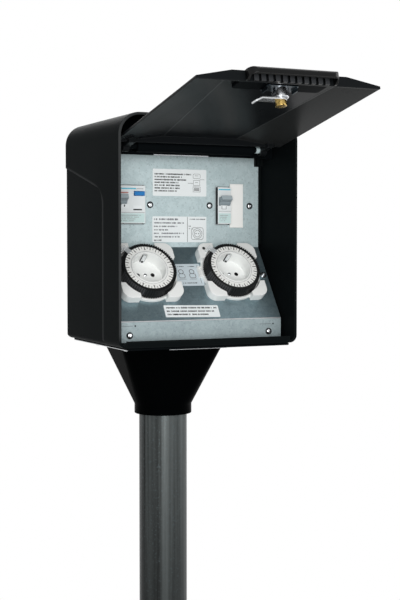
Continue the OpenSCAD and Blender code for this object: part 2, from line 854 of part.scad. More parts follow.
module mounting_panel() {
    notch_x = panel_w / 2 - notch / 4 + past / 2;
    notch_z = panel_top - notch / 2 + past / 2;
    color(STEEL) difference() {
        at_floor() cross_prism(panel_w) panel_section();
        at_floor() for (s = [LEFT, RIGHT]) {
            translate([s * notch_x, -panel_y, notch_z])
                cube([notch / 2 + past, 4 * panel_t, notch + past], center = true);
            translate([s * (cut_in + cut_w / 2), -panel_y, bracket_z])
                cube([cut_w, 4 * panel_t, cut_h], center = true);
        }
        at_floor() bracket_screw_places() translate([0, 0, -panel_t - past])
            cylinder(r = screw_r + screw_gap, h = panel_t + 2 * past);
        at_floor() flange_screw_places() translate([0, 0, -panel_t - past])
            cylinder(r = screw_r + screw_gap, h = panel_t + 2 * past);
        for (s = [LEFT, RIGHT]) {
            at_timer(s) translate([0, 0, -panel_t - past])
                cylinder(r = insert_r + 1.5, h = panel_t + 2 * past);
            at_timer(s) timer_screw_places() translate([0, 0, -panel_t - past])
                cylinder(r = screw_r + screw_gap, h = panel_t + 2 * past);
        }
        at_slope(stud_x, stud_along) translate([0, 0, -panel_t - past])
            cylinder(r = screw_r + screw_gap, h = panel_t + 2 * past);
    }
}

module panel_screws() {
    color(ZINC) at_floor() {
        bracket_screw_places() pan_screw(screw_r, screw_head_r, screw_head_h, panel_t + bracket_t + 2);
        flange_screw_places() pan_screw(screw_r, screw_head_r, screw_head_h, panel_t + 7);
    }
}

// One angle bracket: a foot behind the panel and a web that runs back to the rail
module rail_bracket(side, screw_x, web_x) {
    depth = breaker_d + rail_d - panel_t;
    foot_y = -panel_y + panel_t;
    difference() {
        union() {
            translate([side * screw_x - bracket_foot / 2, foot_y, bracket_z - bracket_h / 2])
                cube([bracket_foot, bracket_t, bracket_h]);
            translate([side * web_x - bracket_t / 2, foot_y, bracket_z - bracket_h / 2])
                cube([bracket_t, depth, bracket_h]);
        }
        translate([side * screw_x, foot_y - past, bracket_z]) rotate([-90, 0, 0])
            cylinder(r = screw_r + screw_gap, h = bracket_t + 2 * past);
    }
}

module rail_brackets() {
    color(STEEL) at_floor() for (s = [LEFT, RIGHT]) {
        rail_bracket(s, bracket_in, bracket_in + bracket_foot / 2 - bracket_t / 2);
        rail_bracket(s, bracket_out, bracket_out - bracket_foot / 2 + bracket_t / 2);
    }
}

// Top-hat rails between the brackets
module din_rails() {
    x_in = bracket_in + bracket_foot / 2;
    x_out = bracket_out - bracket_foot / 2;
    half = rail_h / 2;
    crown = half - rail_lip;
    color(ZINC) at_floor() for (s = [LEFT, RIGHT]) {
        translate([s * (x_in + x_out) / 2, rail_y, bracket_z]) cross_prism(x_out - x_in) polygon([
            [0, half], [0, crown - rail_t], [rail_d - rail_t, crown - rail_t],
            [rail_d - rail_t, -crown + rail_t],
            [0, -crown + rail_t], [0, -half], [rail_t, -half], [rail_t, -crown],
            [rail_d, -crown], [rail_d, crown], [rail_t, crown], [rail_t, half]
        ]);
    }
}

// Breaker housing: a nose through the cut-out and a taller body behind the panel
module breaker_housing(x, w) {
    translate([x - w / 2, nose_y, bracket_z - nose_h / 2]) cube([w, shoulder_y - nose_y + 1, nose_h]);
    translate([x - w / 2, shoulder_y, bracket_z - breaker_h / 2])
        cube([w, rail_y - shoulder_y, breaker_h]);
}

// Space that a toggle needs, with its hub's trough
module toggle_space(x, w) {
    translate([x - w / 2 - slip, toggle_y, toggle_z]) rotate([0, 90, 0])
        cylinder(r = toggle_r + slip, h = w + 2 * slip);
}

// Hub with a lever that leans up when it is switched on
module toggle(x, w) {
    lever_t = 5.6;
    lever_w = w - 0.6;
    translate([x, toggle_y, toggle_z]) {
        translate([-w / 2, 0, 0]) rotate([0, 90, 0]) cylinder(r = toggle_r, h = w);
        rotate([-toggle_lean, 0, 0]) translate([-lever_w / 2, -toggle_reach, -lever_t / 2])
            cube([lever_w, toggle_reach, lever_t]);
    }
}

module rcd_body() {
    color(GREY) at_floor() difference() {
        breaker_housing(rcd_x, rcd_w);
        toggle_space(rcd_toggle_x, rcd_toggle_w);
        translate([button_x - button_w / 2 - slip, nose_y - past, button_z - button_h / 2 - slip])
            cube([button_w + 2 * slip, button_depth + button_travel + past, button_h + 2 * slip]);
    }
}

module rcd_toggle() {
    color(DARK) at_floor() toggle(rcd_toggle_x, rcd_toggle_w);
}

module rcd_test_button() {
    color("#2f6f9f") at_floor()
        translate([button_x - button_w / 2, nose_y - button_out, button_z - button_h / 2])
        cube([button_w, button_out + button_depth - slip, button_h]);
}

module mcb_body() {
    color(GREY) at_floor() difference() {
        breaker_housing(mcb_x, module_w);
        toggle_space(mcb_x, mcb_toggle_w);
    }
}

module mcb_toggle() {
    color(DARK) at_floor() toggle(mcb_x, mcb_toggle_w);
}

module blank_filler() {
    clip_d = 6;
    color(WHITE) at_floor() {
        translate([filler_x - module_w / 2, -panel_y - filler_t, bracket_z - filler_h / 2])
            cube([module_w, filler_t, filler_h]);
        translate([filler_x - module_w / 2 + 0.5, -panel_y - 1, bracket_z - nose_h / 2])
            cube([module_w - 1, clip_d, nose_h]);
    }
}

module terminal_places() {
    for (i = [0 : terminal_count - 1]) {
        translate([(i - (terminal_count - 1) / 2) * terminal_pitch, 0, 0]) children();
    }
}

module terminal_block() {
    groove = 1.2;
    front = back_y - terminal_d;
    color(WHITE) at_floor() difference() {
        translate([-terminal_w / 2, front, terminal_z]) cube([terminal_w, terminal_d, terminal_h]);
        terminal_places() translate([(terminal_pitch - groove) / 2, front - past, terminal_z - past])
            cube([groove, 5 + past, terminal_h + 2 * past]);
        terminal_places() translate([0, front - past, terminal_z + terminal_h / 2]) rotate([-90, 0, 0])
            cylinder(r = screw_r + 0.5 + screw_gap, h = 6 + past);
    }
}

module terminal_screws() {
    color(BRASS) at_floor() terminal_places()
        translate([0, back_y - terminal_d + 1.5, terminal_z + terminal_h / 2]) rotate([-90, 0, 0])
            cylinder(r = screw_r + 0.5, h = 4.5);
}

// Edge ring that caps the tube's upper end and leaves its bore free
module tube_grommet() {
    bore_r = tube_r - tube_wall + 0.5;
    color(BLACK) at_floor() translate([0, 0, tube_rise]) rotate_extrude() polygon([
        [bore_r, 0], [tube_r + run, 0], [tube_r + run, -grommet_drop],
        [tube_r + grommet_t, -grommet_drop], [tube_r + grommet_t, grommet_t - 1],
        [tube_r + grommet_t - 1, grommet_t], [bore_r, grommet_t]
    ]);
}

module earth_stud() {
    nut_r = 4.6;
    color(BRASS) at_slope(stud_x, stud_along) {
        cylinder(r = nut_r, h = 2.6, $fn = 6);
        translate([0, 0, -panel_t - 6]) cylinder(r = screw_r, h = panel_t + 12);
    }
}

// Timer pieces, in the slope's own frame
module rear_timer_screw_places() {
    for (place = [[LEFT, -1], [RIGHT, -1], [RIGHT, 1]]) {
        translate([place[0] * post_at, place[1] * post_at, 0]) children();
    }
}

module front_timer_screw_place() {
    translate([LEFT * post_at, post_at, 0]) children();
}

module timer_screw_places() {
    front_timer_screw_place() children();
    rear_timer_screw_places() children();
}

// Four corner blocks of the base, left between two broad bands
module timer_posts() {
    difference() {
        round_block(base_w, base_w, post_h, post_r);
        cube([2 * post_in, 2 * base_w, 3 * post_h], center = true);
        cube([2 * base_w, 2 * post_in, 3 * post_h], center = true);
    }
}

// Shelf at the rim's side that carries the override switch
module override_shelf() {
    half_w = override_w / 2 + shelf_edge;
    translate([override_x - half_w, -override_len / 2 - shelf_edge, 0])
        cube([2 * half_w, override_len + override_travel + 2 * shelf_edge, rim_h]);
}

// Round base with a well for the tappets, four corner posts and the override's shelf
module timer_base(side) {
    blind = post_h - 2;
    color(WHITE) at_timer(side) difference() {
        union() {
            cylinder(r = rim_r, h = rim_h);
            override_shelf();
            timer_posts();
        }
        translate([0, 0, base_t]) cylinder(r = well_r, h = post_h);
        translate([0, 0, -past]) cylinder(r = insert_r + run, h = base_t + 2 * past);
        front_timer_screw_place() translate([0, 0, -past])
            cylinder(r = screw_r + screw_gap, h = post_h + 2 * past);
        rear_timer_screw_places() translate([0, 0, -past])
            cylinder(r = screw_r + screw_gap, h = blind + past);
        translate([override_x - override_w / 2 - slip, -override_len / 2 - slip, base_t - 1])
            cube([override_w + 2 * slip, override_len + override_travel + 2 * slip, rim_h]);
    }
}

module timer_base_left() {
    timer_base(LEFT);
}

module timer_base_right() {
    timer_base(RIGHT);
}

// Hollow case behind the panel, its mouth closed by the panel and the socket insert
module timer_case(side) {
    color(GREY) at_timer(side) difference() {
        translate([0, 0, -panel_t - case_d]) round_block(case_w, case_w, case_d, 4);
        translate([0, 0, -panel_t - case_d + case_wall])
            round_block(case_w - 2 * case_wall, case_w - 2 * case_wall, case_d - 2 * case_wall, 2);
        translate([0, 0, -panel_t - case_wall - past])
            cylinder(r = insert_r + slip, h = case_wall + 2 * past);
    }
}

module timer_case_left() {
    timer_case(LEFT);
}

module timer_case_right() {
    timer_case(RIGHT);
}

module earth_clip_places() {
    for (sy = [-1, 1]) {
        rotate([0, 0, 90 - 90 * sy]) translate([0, socket_r, 0]) children();
    }
}

// Round cup with two contact holes and a notch for each earth clip
module socket_insert(side) {
    color(WHITE) at_timer(side) difference() {
        union() {
            translate([0, 0, insert_foot]) cylinder(r = insert_r, h = insert_top - insert_foot);
            translate([0, 0, insert_low]) cylinder(r = boss_r, h = boss_h + past);
        }
        translate([0, 0, recess_floor]) cylinder(r = socket_r, h = socket_depth + past);
        for (s = [LEFT, RIGHT]) {
            translate([s * contact_x, 0, insert_low + 1.5]) cylinder(r = contact_r, h = socket_depth);
        }
        earth_clip_places() translate([-clip_w / 2, -clip_t - 1, recess_floor - 0.5])
            cube([clip_w, 2 * clip_t + 1, insert_top - recess_floor - 1.5]);
    }
}

module socket_insert_left() {
    socket_insert(LEFT);
}

module socket_insert_right() {
    socket_insert(RIGHT);
}

// Two sprung strips that stand a little proud of the recess wall, and the centre screw
module earth_clips(side) {
    clip_h = socket_depth - 3;
    color(ZINC) at_timer(side) {
        earth_clip_places() translate([-clip_w / 2, -clip_t - 1, recess_floor - 0.5])
            cube([clip_w, 1.4, clip_h]);
        translate([0, 0, recess_floor]) pan_screw(0.8, 2.2, 1.2, 0);
    }
}

module earth_clips_left() {
    earth_clips(LEFT);
}

module earth_clips_right() {
    earth_clips(RIGHT);
}

module timer_screws(side) {
    head_r = screw_head_r - 0.8;
    head_h = 1.2;
    bite = post_h - 3;
    color(ZINC) at_timer(side) {
        front_timer_screw_place() translate([0, 0, post_h])
            pan_screw(screw_r, head_r, head_h, post_h + panel_t + 3);
        rear_timer_screw_places() translate([0, 0, -panel_t]) rotate([180, 0, 0])
            pan_screw(screw_r, head_r, head_h, bite + panel_t);
    }
}

module timer_screws_left() {
    timer_screws(LEFT);
}

module timer_screws_right() {
    timer_screws(RIGHT);
}

// Clear pointer: a stem on the upper left post and a blade that reaches over the tappets
module time_pointer(side) {
    half_w = 3;
    stem_at = well_r + 0.4;
    stem_t = 2.8;
    low = ring_top + pointer_gap;
    color([0.85, 0.9, 0.92, 0.6]) at_timer(side) rotate([0, 0, 45]) translate([-half_w, 0, 0]) {
        translate([0, stem_at, post_h]) cube([2 * half_w, stem_t, low + pointer_t - post_h]);
        translate([0, dial_r - 2, low]) cube([2 * half_w, stem_at + stem_t - dial_r + 2, pointer_t]);
    }
}

module time_pointer_left() {
    time_pointer(LEFT);
}

module time_pointer_right() {
    time_pointer(RIGHT);
}

// Dial with a hub that turns on the socket insert
module dial(side) {
    hub_low = base_t + 0.5;
    color(WHITE) at_timer(side) rotate_extrude() polygon([
        [insert_r + run, hub_low], [insert_r + 2.2, hub_low], [insert_r + 2.2, dial_z - dial_t],
        [dial_r, dial_z - dial_t], [dial_r, dial_z - 0.4], [dial_r - 0.6, dial_z], [insert_r + run, dial_z]
    ]);
}

module dial_left() {
    dial(LEFT);
}

module dial_right() {
    dial(RIGHT);
}

// Ring of switching tappets with a flange that the dial sits on
module tappet_ring(side) {
    shelf = 3;
    color(BLACK) at_timer(side) rotate_extrude() polygon([
        [dial_r - shelf, dial_z - dial_t - shelf], [dial_r + dial_edge_gap, ring_low],
        [ring_r - 0.8, ring_low],
        [ring_r, ring_low + 0.8], [ring_r, ring_top - 1], [ring_r - 1, ring_top],
        [dial_r + dial_edge_gap, ring_top],
        [dial_r + dial_edge_gap, dial_z - dial_t], [dial_r - shelf, dial_z - dial_t]
    ]);
}

module tappet_ring_left() {
    tappet_ring(LEFT);
}

module tappet_ring_right() {
    tappet_ring(RIGHT);
}

module override_switch(side) {
    color("#b4493c") at_timer(side)
        translate([override_x - override_w / 2, -override_len / 2, base_t - 1 + slip / 3])
            cube([override_w, override_len, override_h]);
}

module override_left() {
    override_switch(LEFT);
}

module override_right() {
    override_switch(RIGHT);
}

// Block with a level base and a narrower top, between two distances from the hinge
module lid_block(start, end, low, high, reach) {
    span = lid_len - lid_start;
    near = field_in + (field_out - field_in) * (start - lid_start) / span;
    far = field_in + (field_out - field_in) * (end - lid_start) / span;
    half = lid_w / 2;
    polyhedron(
        points = [
            [-half, -start, low - reach], [half, -start, low - reach], [half, -end, low - reach],
            [-half, -end, low - reach],
            [-half, -start, low], [half, -start, low], [half, -end, low], [-half, -end, low],
            [-near, -start, high], [near, -start, high], [far, -end, high], [-far, -end, high]
        ],
        faces = [
            [3, 2, 1, 0], [1, 5, 4, 0], [2, 6, 5, 1], [3, 7, 6, 2], [0, 4, 7, 3],
            [5, 9, 8, 4], [6, 10, 9, 5], [7, 11, 10, 6], [4, 8, 11, 7], [9, 10, 11, 8]
        ]
    );
}

// Lid sheet with sloping wings, a raised middle field, end skirts and two hinge ears
module lid_panel() {
    arm = lid_start + 10;
    arm_low = -3;
    color(BLACK) at_lid() difference() {
        union() {
            difference() {
                lid_block(lid_start, lid_len, lid_t, lid_out, lid_t);
                lid_block(lid_start + lid_t, lid_len - lid_t, 0, lid_in, past);
            }
            for (s = [LEFT, RIGHT]) {
                translate([s * (ear_x + ear_w / 2), 0, 0]) cross_prism(ear_w) union() {
                    circle(r = knuckle_r);
                    translate([-arm, arm_low]) square([arm, lid_t - arm_low]);
                }
            }
        }
        rotate([0, 90, 0]) translate([0, 0, -lid_w]) cylinder(r = rod_r + run, h = 2 * lid_w);
        translate([0, -lock_u, 0]) cylinder(r = barrel_r + screw_gap, h = lid_out + past);
    }
}

// Handle's outside section with its end cheeks, drawn in distance from the hinge and height
module visor_section() {
    polygon([
        [lid_len, skirt_low], [lid_len + rib_depth + 1, skirt_low],
        [visor_end - handle_wall, visor_low + 1], [lid_len, visor_low + 1]
    ]);
    translate([lid_len, visor_low]) square([handle_reach, visor_top - visor_low - visor_r]);
    translate([lid_len, visor_low]) square([handle_reach - visor_r, visor_top - visor_low]);
    translate([visor_end - visor_r, visor_top - visor_r]) circle(r = visor_r);
}

// Upright block in the handle's plan, set in from its outside by a wall
module visor_plan(inset, low, high, corner) {
    back = lid_len - 2 * visor_corner;
    translate([0, -(back + visor_end - inset) / 2, low])
        round_block(handle_w - 2 * inset, visor_end - inset - back, high - low, corner);
}

// Hollow bar in front of the lid's free edge, with a cheek at each end and ribs against the edge
module handle_grip() {
    inside = visor_top - handle_wall;
    pitch = (handle_w - 2 * handle_wall) / (rib_count + 1);
    first = -handle_w / 2 + handle_wall - rib_t / 2;
    color(BLACK) at_lid() {
        difference() {
            intersection() {
                mirror([0, 1, 0]) cross_prism(handle_w) visor_section();
                visor_plan(0, skirt_low, visor_top, visor_corner);
            }
            visor_plan(handle_wall, skirt_low - past, inside, visor_inner_r);
        }
        for (i = [1 : rib_count]) {
            translate([first + i * pitch, -lid_len - rib_depth, skirt_low])
                cube([rib_t, rib_depth, inside - skirt_low + 1]);
        }
    }
}

module handle_pad() {
    pad_w = handle_w - 2;
    color(BLACK) at_lid() difference() {
        translate([0, -pad_end + pad_len / 2, lid_in - pad_t]) round_block(pad_w, pad_len, pad_t, 4);
        translate([0, -lock_u, lid_in - pad_t - past])
            cylinder(r = barrel_r + screw_gap, h = pad_t + 2 * past);
    }
}

module lock_barrel() {
    color(ZINC) at_lock() rotate_extrude() polygon([
        [plug_r + run, -barrel_drop], [barrel_r - 0.6, -barrel_drop], [barrel_r, -barrel_drop + 0.6],
        [barrel_r, lid_out],
        [barrel_flange_r, lid_out], [barrel_flange_r, lid_out + barrel_flange_t - 0.5],
        [barrel_flange_r - 0.8, lid_out + barrel_flange_t], [plug_r + run, lid_out + barrel_flange_t]
    ]);
}

// Spring clip that holds the barrel against the backing pad, with two turned-down ears
module lock_clip() {
    top = lid_in - pad_t;
    color(ZINC) at_lock() difference() {
        union() {
            translate([0, 0, top - clip_plate_t])
                round_block(clip_plate_w, clip_plate_len, clip_plate_t, 3);
            for (s = [LEFT, RIGHT]) {
                translate([s * (clip_plate_w / 2 - clip_plate_t / 2), 0, top - 2.5])
                    cube([clip_plate_t, clip_plate_len - 8, 5], center = true);
            }
        }
        translate([0, 0, top - 2 * pad_t]) cylinder(r = barrel_r + screw_gap, h = 3 * pad_t);
        translate([-clip_plate_w, -clip_plate_len, top])
            cube([2 * clip_plate_w, 2 * clip_plate_len, pad_t]);
    }
}

module lock_plug() {
    top = lid_out + barrel_flange_t;
    color(ZINC) at_lock() difference() {
        translate([0, 0, cam_top]) cylinder(r = plug_r, h = top - cam_top);
        translate([0, 0, top]) cube([key_w, key_len, 8], center = true);
        translate([0, 0, cam_top - past]) cylinder(r = cam_shank_r + screw_gap, h = 8 + past);
    }
}

// Flat lever with a turned-down tip, pointing to the left when unlocked
module cam_lever() {
    straight = cam_len - cam_bend;
    tip = straight + cam_bend * cos(cam_bend_angle);
    drop = cam_bend * sin(cam_bend_angle);
    under = cam_t * cos(cam_bend_angle);
    color(STEEL) at_lock() difference() {
        union() {
            translate([0, cam_w / 2, cam_top]) rotate([90, 0, 0]) linear_extrude(cam_w) polygon([
                [0, 0], [-straight, 0], [-tip, -drop], [-tip + cam_t * sin(cam_bend_angle), -drop - under],
                [-straight + cam_t * tan(cam_bend_angle / 2), -cam_t], [0, -cam_t]
            ]);
            translate([0, 0, cam_top - cam_t]) cylinder(r = cam_w / 2 + 0.6, h = cam_t);
        }
        translate([0, 0, cam_top - cam_t - past])
            cylinder(r = cam_shank_r + screw_gap, h = cam_t + 2 * past);
    }
}

module cam_screw() {
    low = cam_top - cam_t;
    color(BRASS) at_lock() difference() {
        union() {
            translate([0, 0, low - cam_screw_h]) cylinder(r = cam_screw_r, h = cam_screw_h);
            translate([0, 0, low]) cylinder(r = cam_shank_r, h = 8);
        }
        translate([0, 0, low - cam_screw_h]) cube([1.4, 3 * cam_screw_r, 3], center = true);
    }
}

// Round bar between two points
module bar(a, b, r) {
    run_x = b[0] - a[0];
    run_y = b[1] - a[1];
    run_z = b[2] - a[2];
    flat = sqrt(run_x * run_x + run_y * run_y);
    translate(a) rotate([0, atan2(flat, run_z), atan2(run_y, run_x)]) cylinder(r = r, h = norm(b - a));
}

// Insulated wire along a list of points, with a ball at each turn
module wire(points, r) {
    for (i = [0 : len(points) - 2]) {
        bar(points[i], points[i + 1], r);
    }
    for (i = [1 : len(points) - 2]) {
        translate(points[i]) sphere(r = r);
    }
}

wire_top = bracket_z + breaker_h / 2 + 8;
wire_back = back_y - terminal_d / 2;
wire_front = (shoulder_y + rail_y) / 2;
terminal_top = terminal_z + terminal_h;
breaker_top = bracket_z + breaker_h / 2;
breaker_low = bracket_z - breaker_h / 2;

// Live and neutral from the terminal block over the top of the breakers
module supply_wires() {
    runs = [
        [-1.5, rcd_x - wire_pair, wire_step], [-2.5, rcd_x + wire_pair, 0], [1.5, mcb_x, 0]
    ];
    color("#6b4a33") at_floor() for (ends = runs) {
        from_x = ends[0] * terminal_pitch;
        level = wire_top + ends[2];
        wire([
            [from_x, wire_back, terminal_top], [from_x, wire_back, level], [ends[1], wire_back, level],
            [ends[1], wire_front, level], [ends[1], wire_front, breaker_top]
        ], wire_r);
    }
}

// From each breaker's lower end down into the timer case in front of it
module timer_wires() {
    color("#3a5f8a") at_floor() for (x = [rcd_x + wire_pair, mcb_x]) {
        drop = slope_z(timer_along) + wire_entry;
        wire([[x, wire_front, breaker_low], [x, wire_front, drop]], wire_r);
    }
}

// From the terminal block to the stud behind the panel's slope
module earth_wire() {
    x = 2.5 * terminal_pitch;
    level = terminal_z - earth_drop;
    stud_y = slope_y(stud_along) + (panel_t + stud_tail) * cos(slope_tilt);
    stud_z = slope_z(stud_along) - (panel_t + stud_tail) * sin(slope_tilt);
    color("#6f8f3a") at_floor() wire([
        [x, wire_back, terminal_z], [x, wire_back, level], [stud_x, wire_back, level],
        [stud_x, wire_back, stud_z], [stud_x, stud_y, stud_z]
    ], wire_r);
}

post_tube();
neck_sleeve();
neck_screws();
head_plate();
head_bolts();
floor_plate();
floor_screws();
hood_shell();
rear_cover();
rear_cover_screws();
back_plate();
clamp_strap();
clamp_bolts();
hinge_header();
header_screws();
hinge_rod();
mounting_panel();
panel_screws();
rail_brackets();
din_rails();
rcd_body();
rcd_toggle();
rcd_test_button();
mcb_body();
mcb_toggle();
blank_filler();
terminal_block();
terminal_screws();
tube_grommet();
earth_stud();
timer_base_left();
timer_base_right();
timer_case_left();
timer_case_right();
socket_insert_left();
socket_insert_right();
earth_clips_left();
earth_clips_right();
timer_screws_left();
timer_screws_right();
time_pointer_left();
time_pointer_right();
dial_left();
dial_right();
tappet_ring_left();
tappet_ring_right();
override_left();
override_right();
lid_panel();
handle_grip();
handle_pad();
lock_barrel();
lock_clip();
lock_plug();
cam_lever();
cam_screw();
supply_wires();
timer_wires();
earth_wire();
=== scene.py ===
"""Looks of a garden socket post: a hooded panel with breakers and timer sockets on a galvanised tube."""

from __future__ import annotations

import json
import logging
import math
from dataclasses import dataclass
from enum import Enum
from typing import Any, Callable, Iterable, Sequence

import bmesh
import bpy
from bpy.types import Material, Mesh, MeshPolygon, Node, NodeSocket, NodeTree, Object
from mathutils import Matrix, Vector

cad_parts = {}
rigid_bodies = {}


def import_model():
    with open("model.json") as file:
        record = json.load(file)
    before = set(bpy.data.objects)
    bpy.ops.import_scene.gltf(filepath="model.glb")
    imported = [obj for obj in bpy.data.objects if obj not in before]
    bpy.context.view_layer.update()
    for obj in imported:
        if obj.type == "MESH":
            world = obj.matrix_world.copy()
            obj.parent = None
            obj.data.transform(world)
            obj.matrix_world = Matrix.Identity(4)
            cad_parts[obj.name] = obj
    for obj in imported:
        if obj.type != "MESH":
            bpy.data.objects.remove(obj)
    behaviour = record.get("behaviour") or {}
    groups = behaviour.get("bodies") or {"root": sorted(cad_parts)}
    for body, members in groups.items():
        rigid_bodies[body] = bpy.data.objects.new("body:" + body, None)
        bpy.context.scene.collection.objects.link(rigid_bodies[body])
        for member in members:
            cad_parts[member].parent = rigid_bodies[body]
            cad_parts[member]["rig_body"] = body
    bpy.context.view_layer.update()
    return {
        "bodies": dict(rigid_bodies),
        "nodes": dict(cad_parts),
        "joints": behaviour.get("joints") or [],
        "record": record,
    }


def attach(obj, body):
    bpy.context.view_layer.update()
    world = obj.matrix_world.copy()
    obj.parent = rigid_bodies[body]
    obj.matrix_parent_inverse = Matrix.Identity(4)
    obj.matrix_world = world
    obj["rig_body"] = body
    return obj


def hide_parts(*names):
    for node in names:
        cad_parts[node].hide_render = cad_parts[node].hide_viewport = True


LOG = logging.getLogger("socket_post")
ROOT = "post_head"
MM = 0.001
TURN = 2 * math.pi
MERGE = 2e-6
SHARP = 34.0
Colour = tuple[float, float, float]
Point2 = tuple[float, float]
Point3 = tuple[float, float, float]
Line = tuple[float, float, float, float]


class Side(Enum):
    """Which of the two timers a piece belongs to."""

    LEFT = -1
    RIGHT = 1

    @property
    def word(self) -> str:
        """Returns the side as it stands at the end of node names."""
        return self.name.lower()


class Socket(Enum):
    """The kinds of socket that the node trees have."""

    FLOAT = "NodeSocketFloat"
    INT = "NodeSocketInt"
    COLOUR = "NodeSocketColor"
    VECTOR = "NodeSocketVector"
    GEOMETRY = "NodeSocketGeometry"
    MATERIAL = "NodeSocketMaterial"
    OBJECT = "NodeSocketObject"


SOCKET_OF = {float: Socket.FLOAT, int: Socket.INT, tuple: Socket.COLOUR}


@dataclass(frozen=True)
class Place:
    """A local frame: an origin in millimetres and three axes in the part's frame."""

    origin: Point3
    x: Point3 = (1.0, 0.0, 0.0)
    y: Point3 = (0.0, 1.0, 0.0)
    z: Point3 = (0.0, 0.0, 1.0)

    def matrix(self) -> Matrix:
        """Gives the frame as a matrix.

        Returns:
            The matrix from local millimetres to metres in the part's frame.
        """
        columns = (self.x, self.y, self.z, self.origin)
        rows = [[column[i] * MM for column in columns] for i in range(3)]
        return Matrix(rows + [[0.0, 0.0, 0.0, 1.0]])

    def moved(self, x: float = 0.0, y: float = 0.0, z: float = 0.0) -> Place:
        """Returns the frame shifted along its own axes."""
        step = Vector(self.x) * x + Vector(self.y) * y + Vector(self.z) * z
        return Place(tuple(Vector(self.origin) + step), self.x, self.y, self.z)

    def turned(self, degrees: float) -> Place:
        """Turns the frame about its own Z axis.

        Args:
            degrees: Angle of the turn.

        Returns:
            The turned frame.
        """
        c, s = math.cos(math.radians(degrees)), math.sin(math.radians(degrees))
        x, y = Vector(self.x), Vector(self.y)
        return Place(self.origin, tuple(x * c + y * s), tuple(y * c - x * s), self.z)


@dataclass(frozen=True)
class Layout:
    """Places that several sub-assemblies share, in millimetres and degrees."""

    floor_z: float = 800.0
    panel_y: float = 54.3
    bend_z: float = 113.75
    toe_y: float = 114.6
    slope_tilt: float = 35.178
    timer_x: float = 55.4
    timer_along: float = 40.2
    hinge_y: float = 98.0
    hinge_z: float = 231.0
    lid_open: float = 11.6

    def level(self, y: float, z: float) -> Place:
        """Returns an unturned frame, y in front of the tube's axis and z above the hood floor."""
        return Place((0.0, -y, self.floor_z + z))

    def across(self, x: float, y: float, z: float) -> Place:
        """Returns a frame whose Z runs to the right, y in front and z above the hood floor."""
        return Place((x, -y, self.floor_z + z), (0, 1, 0), (0, 0, 1), (1, 0, 0))

    def panel(self) -> Place:
        """Returns the panel's upper face: X right, Y up from the hood floor, Z out."""
        return Place((0.0, -self.panel_y, self.floor_z), (1, 0, 0), (0, 0, 1), (0, -1, 0))

    def flange(self) -> Place:
        """Returns the panel's lower flange: X right, Y up from the hood floor, Z out."""
        return Place((0.0, -self.toe_y, self.floor_z), (1, 0, 0), (0, 0, 1), (0, -1, 0))

    def slope(self, x: float, along: float) -> Place:
        """Gives a frame on the panel's slope.

        Args:
            x: Offset from the middle plane.
            along: Distance down the slope from the upper bend.

        Returns:
            A frame whose Y climbs the slope and whose Z leaves it.
        """
        tilt = math.radians(self.slope_tilt)
        s, c = math.sin(tilt), math.cos(tilt)
        origin = (x, -self.panel_y - along * s, self.floor_z + self.bend_z - along * c)
        return Place(origin, (1, 0, 0), (0, s, c), (0, -c, s))

    def timer(self, side: Side) -> Place:
        """Returns the frame of one timer, its Z along the dial's axis."""
        return self.slope(side.value * self.timer_x, self.timer_along)

    def lid(self) -> Place:
        """Gives the open lid's frame on its hinge axis.

        Returns:
            A frame whose Y runs back along the lid and whose Z leaves its outside.
        """
        turn = math.radians(self.lid_open)
        s, c = math.sin(turn), math.cos(turn)
        return Place((0.0, -self.hinge_y, self.floor_z + self.hinge_z), (1, 0, 0), (0, c, -s), (0, s, c))


LAYOUT = Layout()


def rgba(value: Any) -> Any:
    """Gives a colour of three numbers its fourth; anything else is handed back."""
    return (*value, 1.0) if isinstance(value, tuple) and len(value) == 3 else value


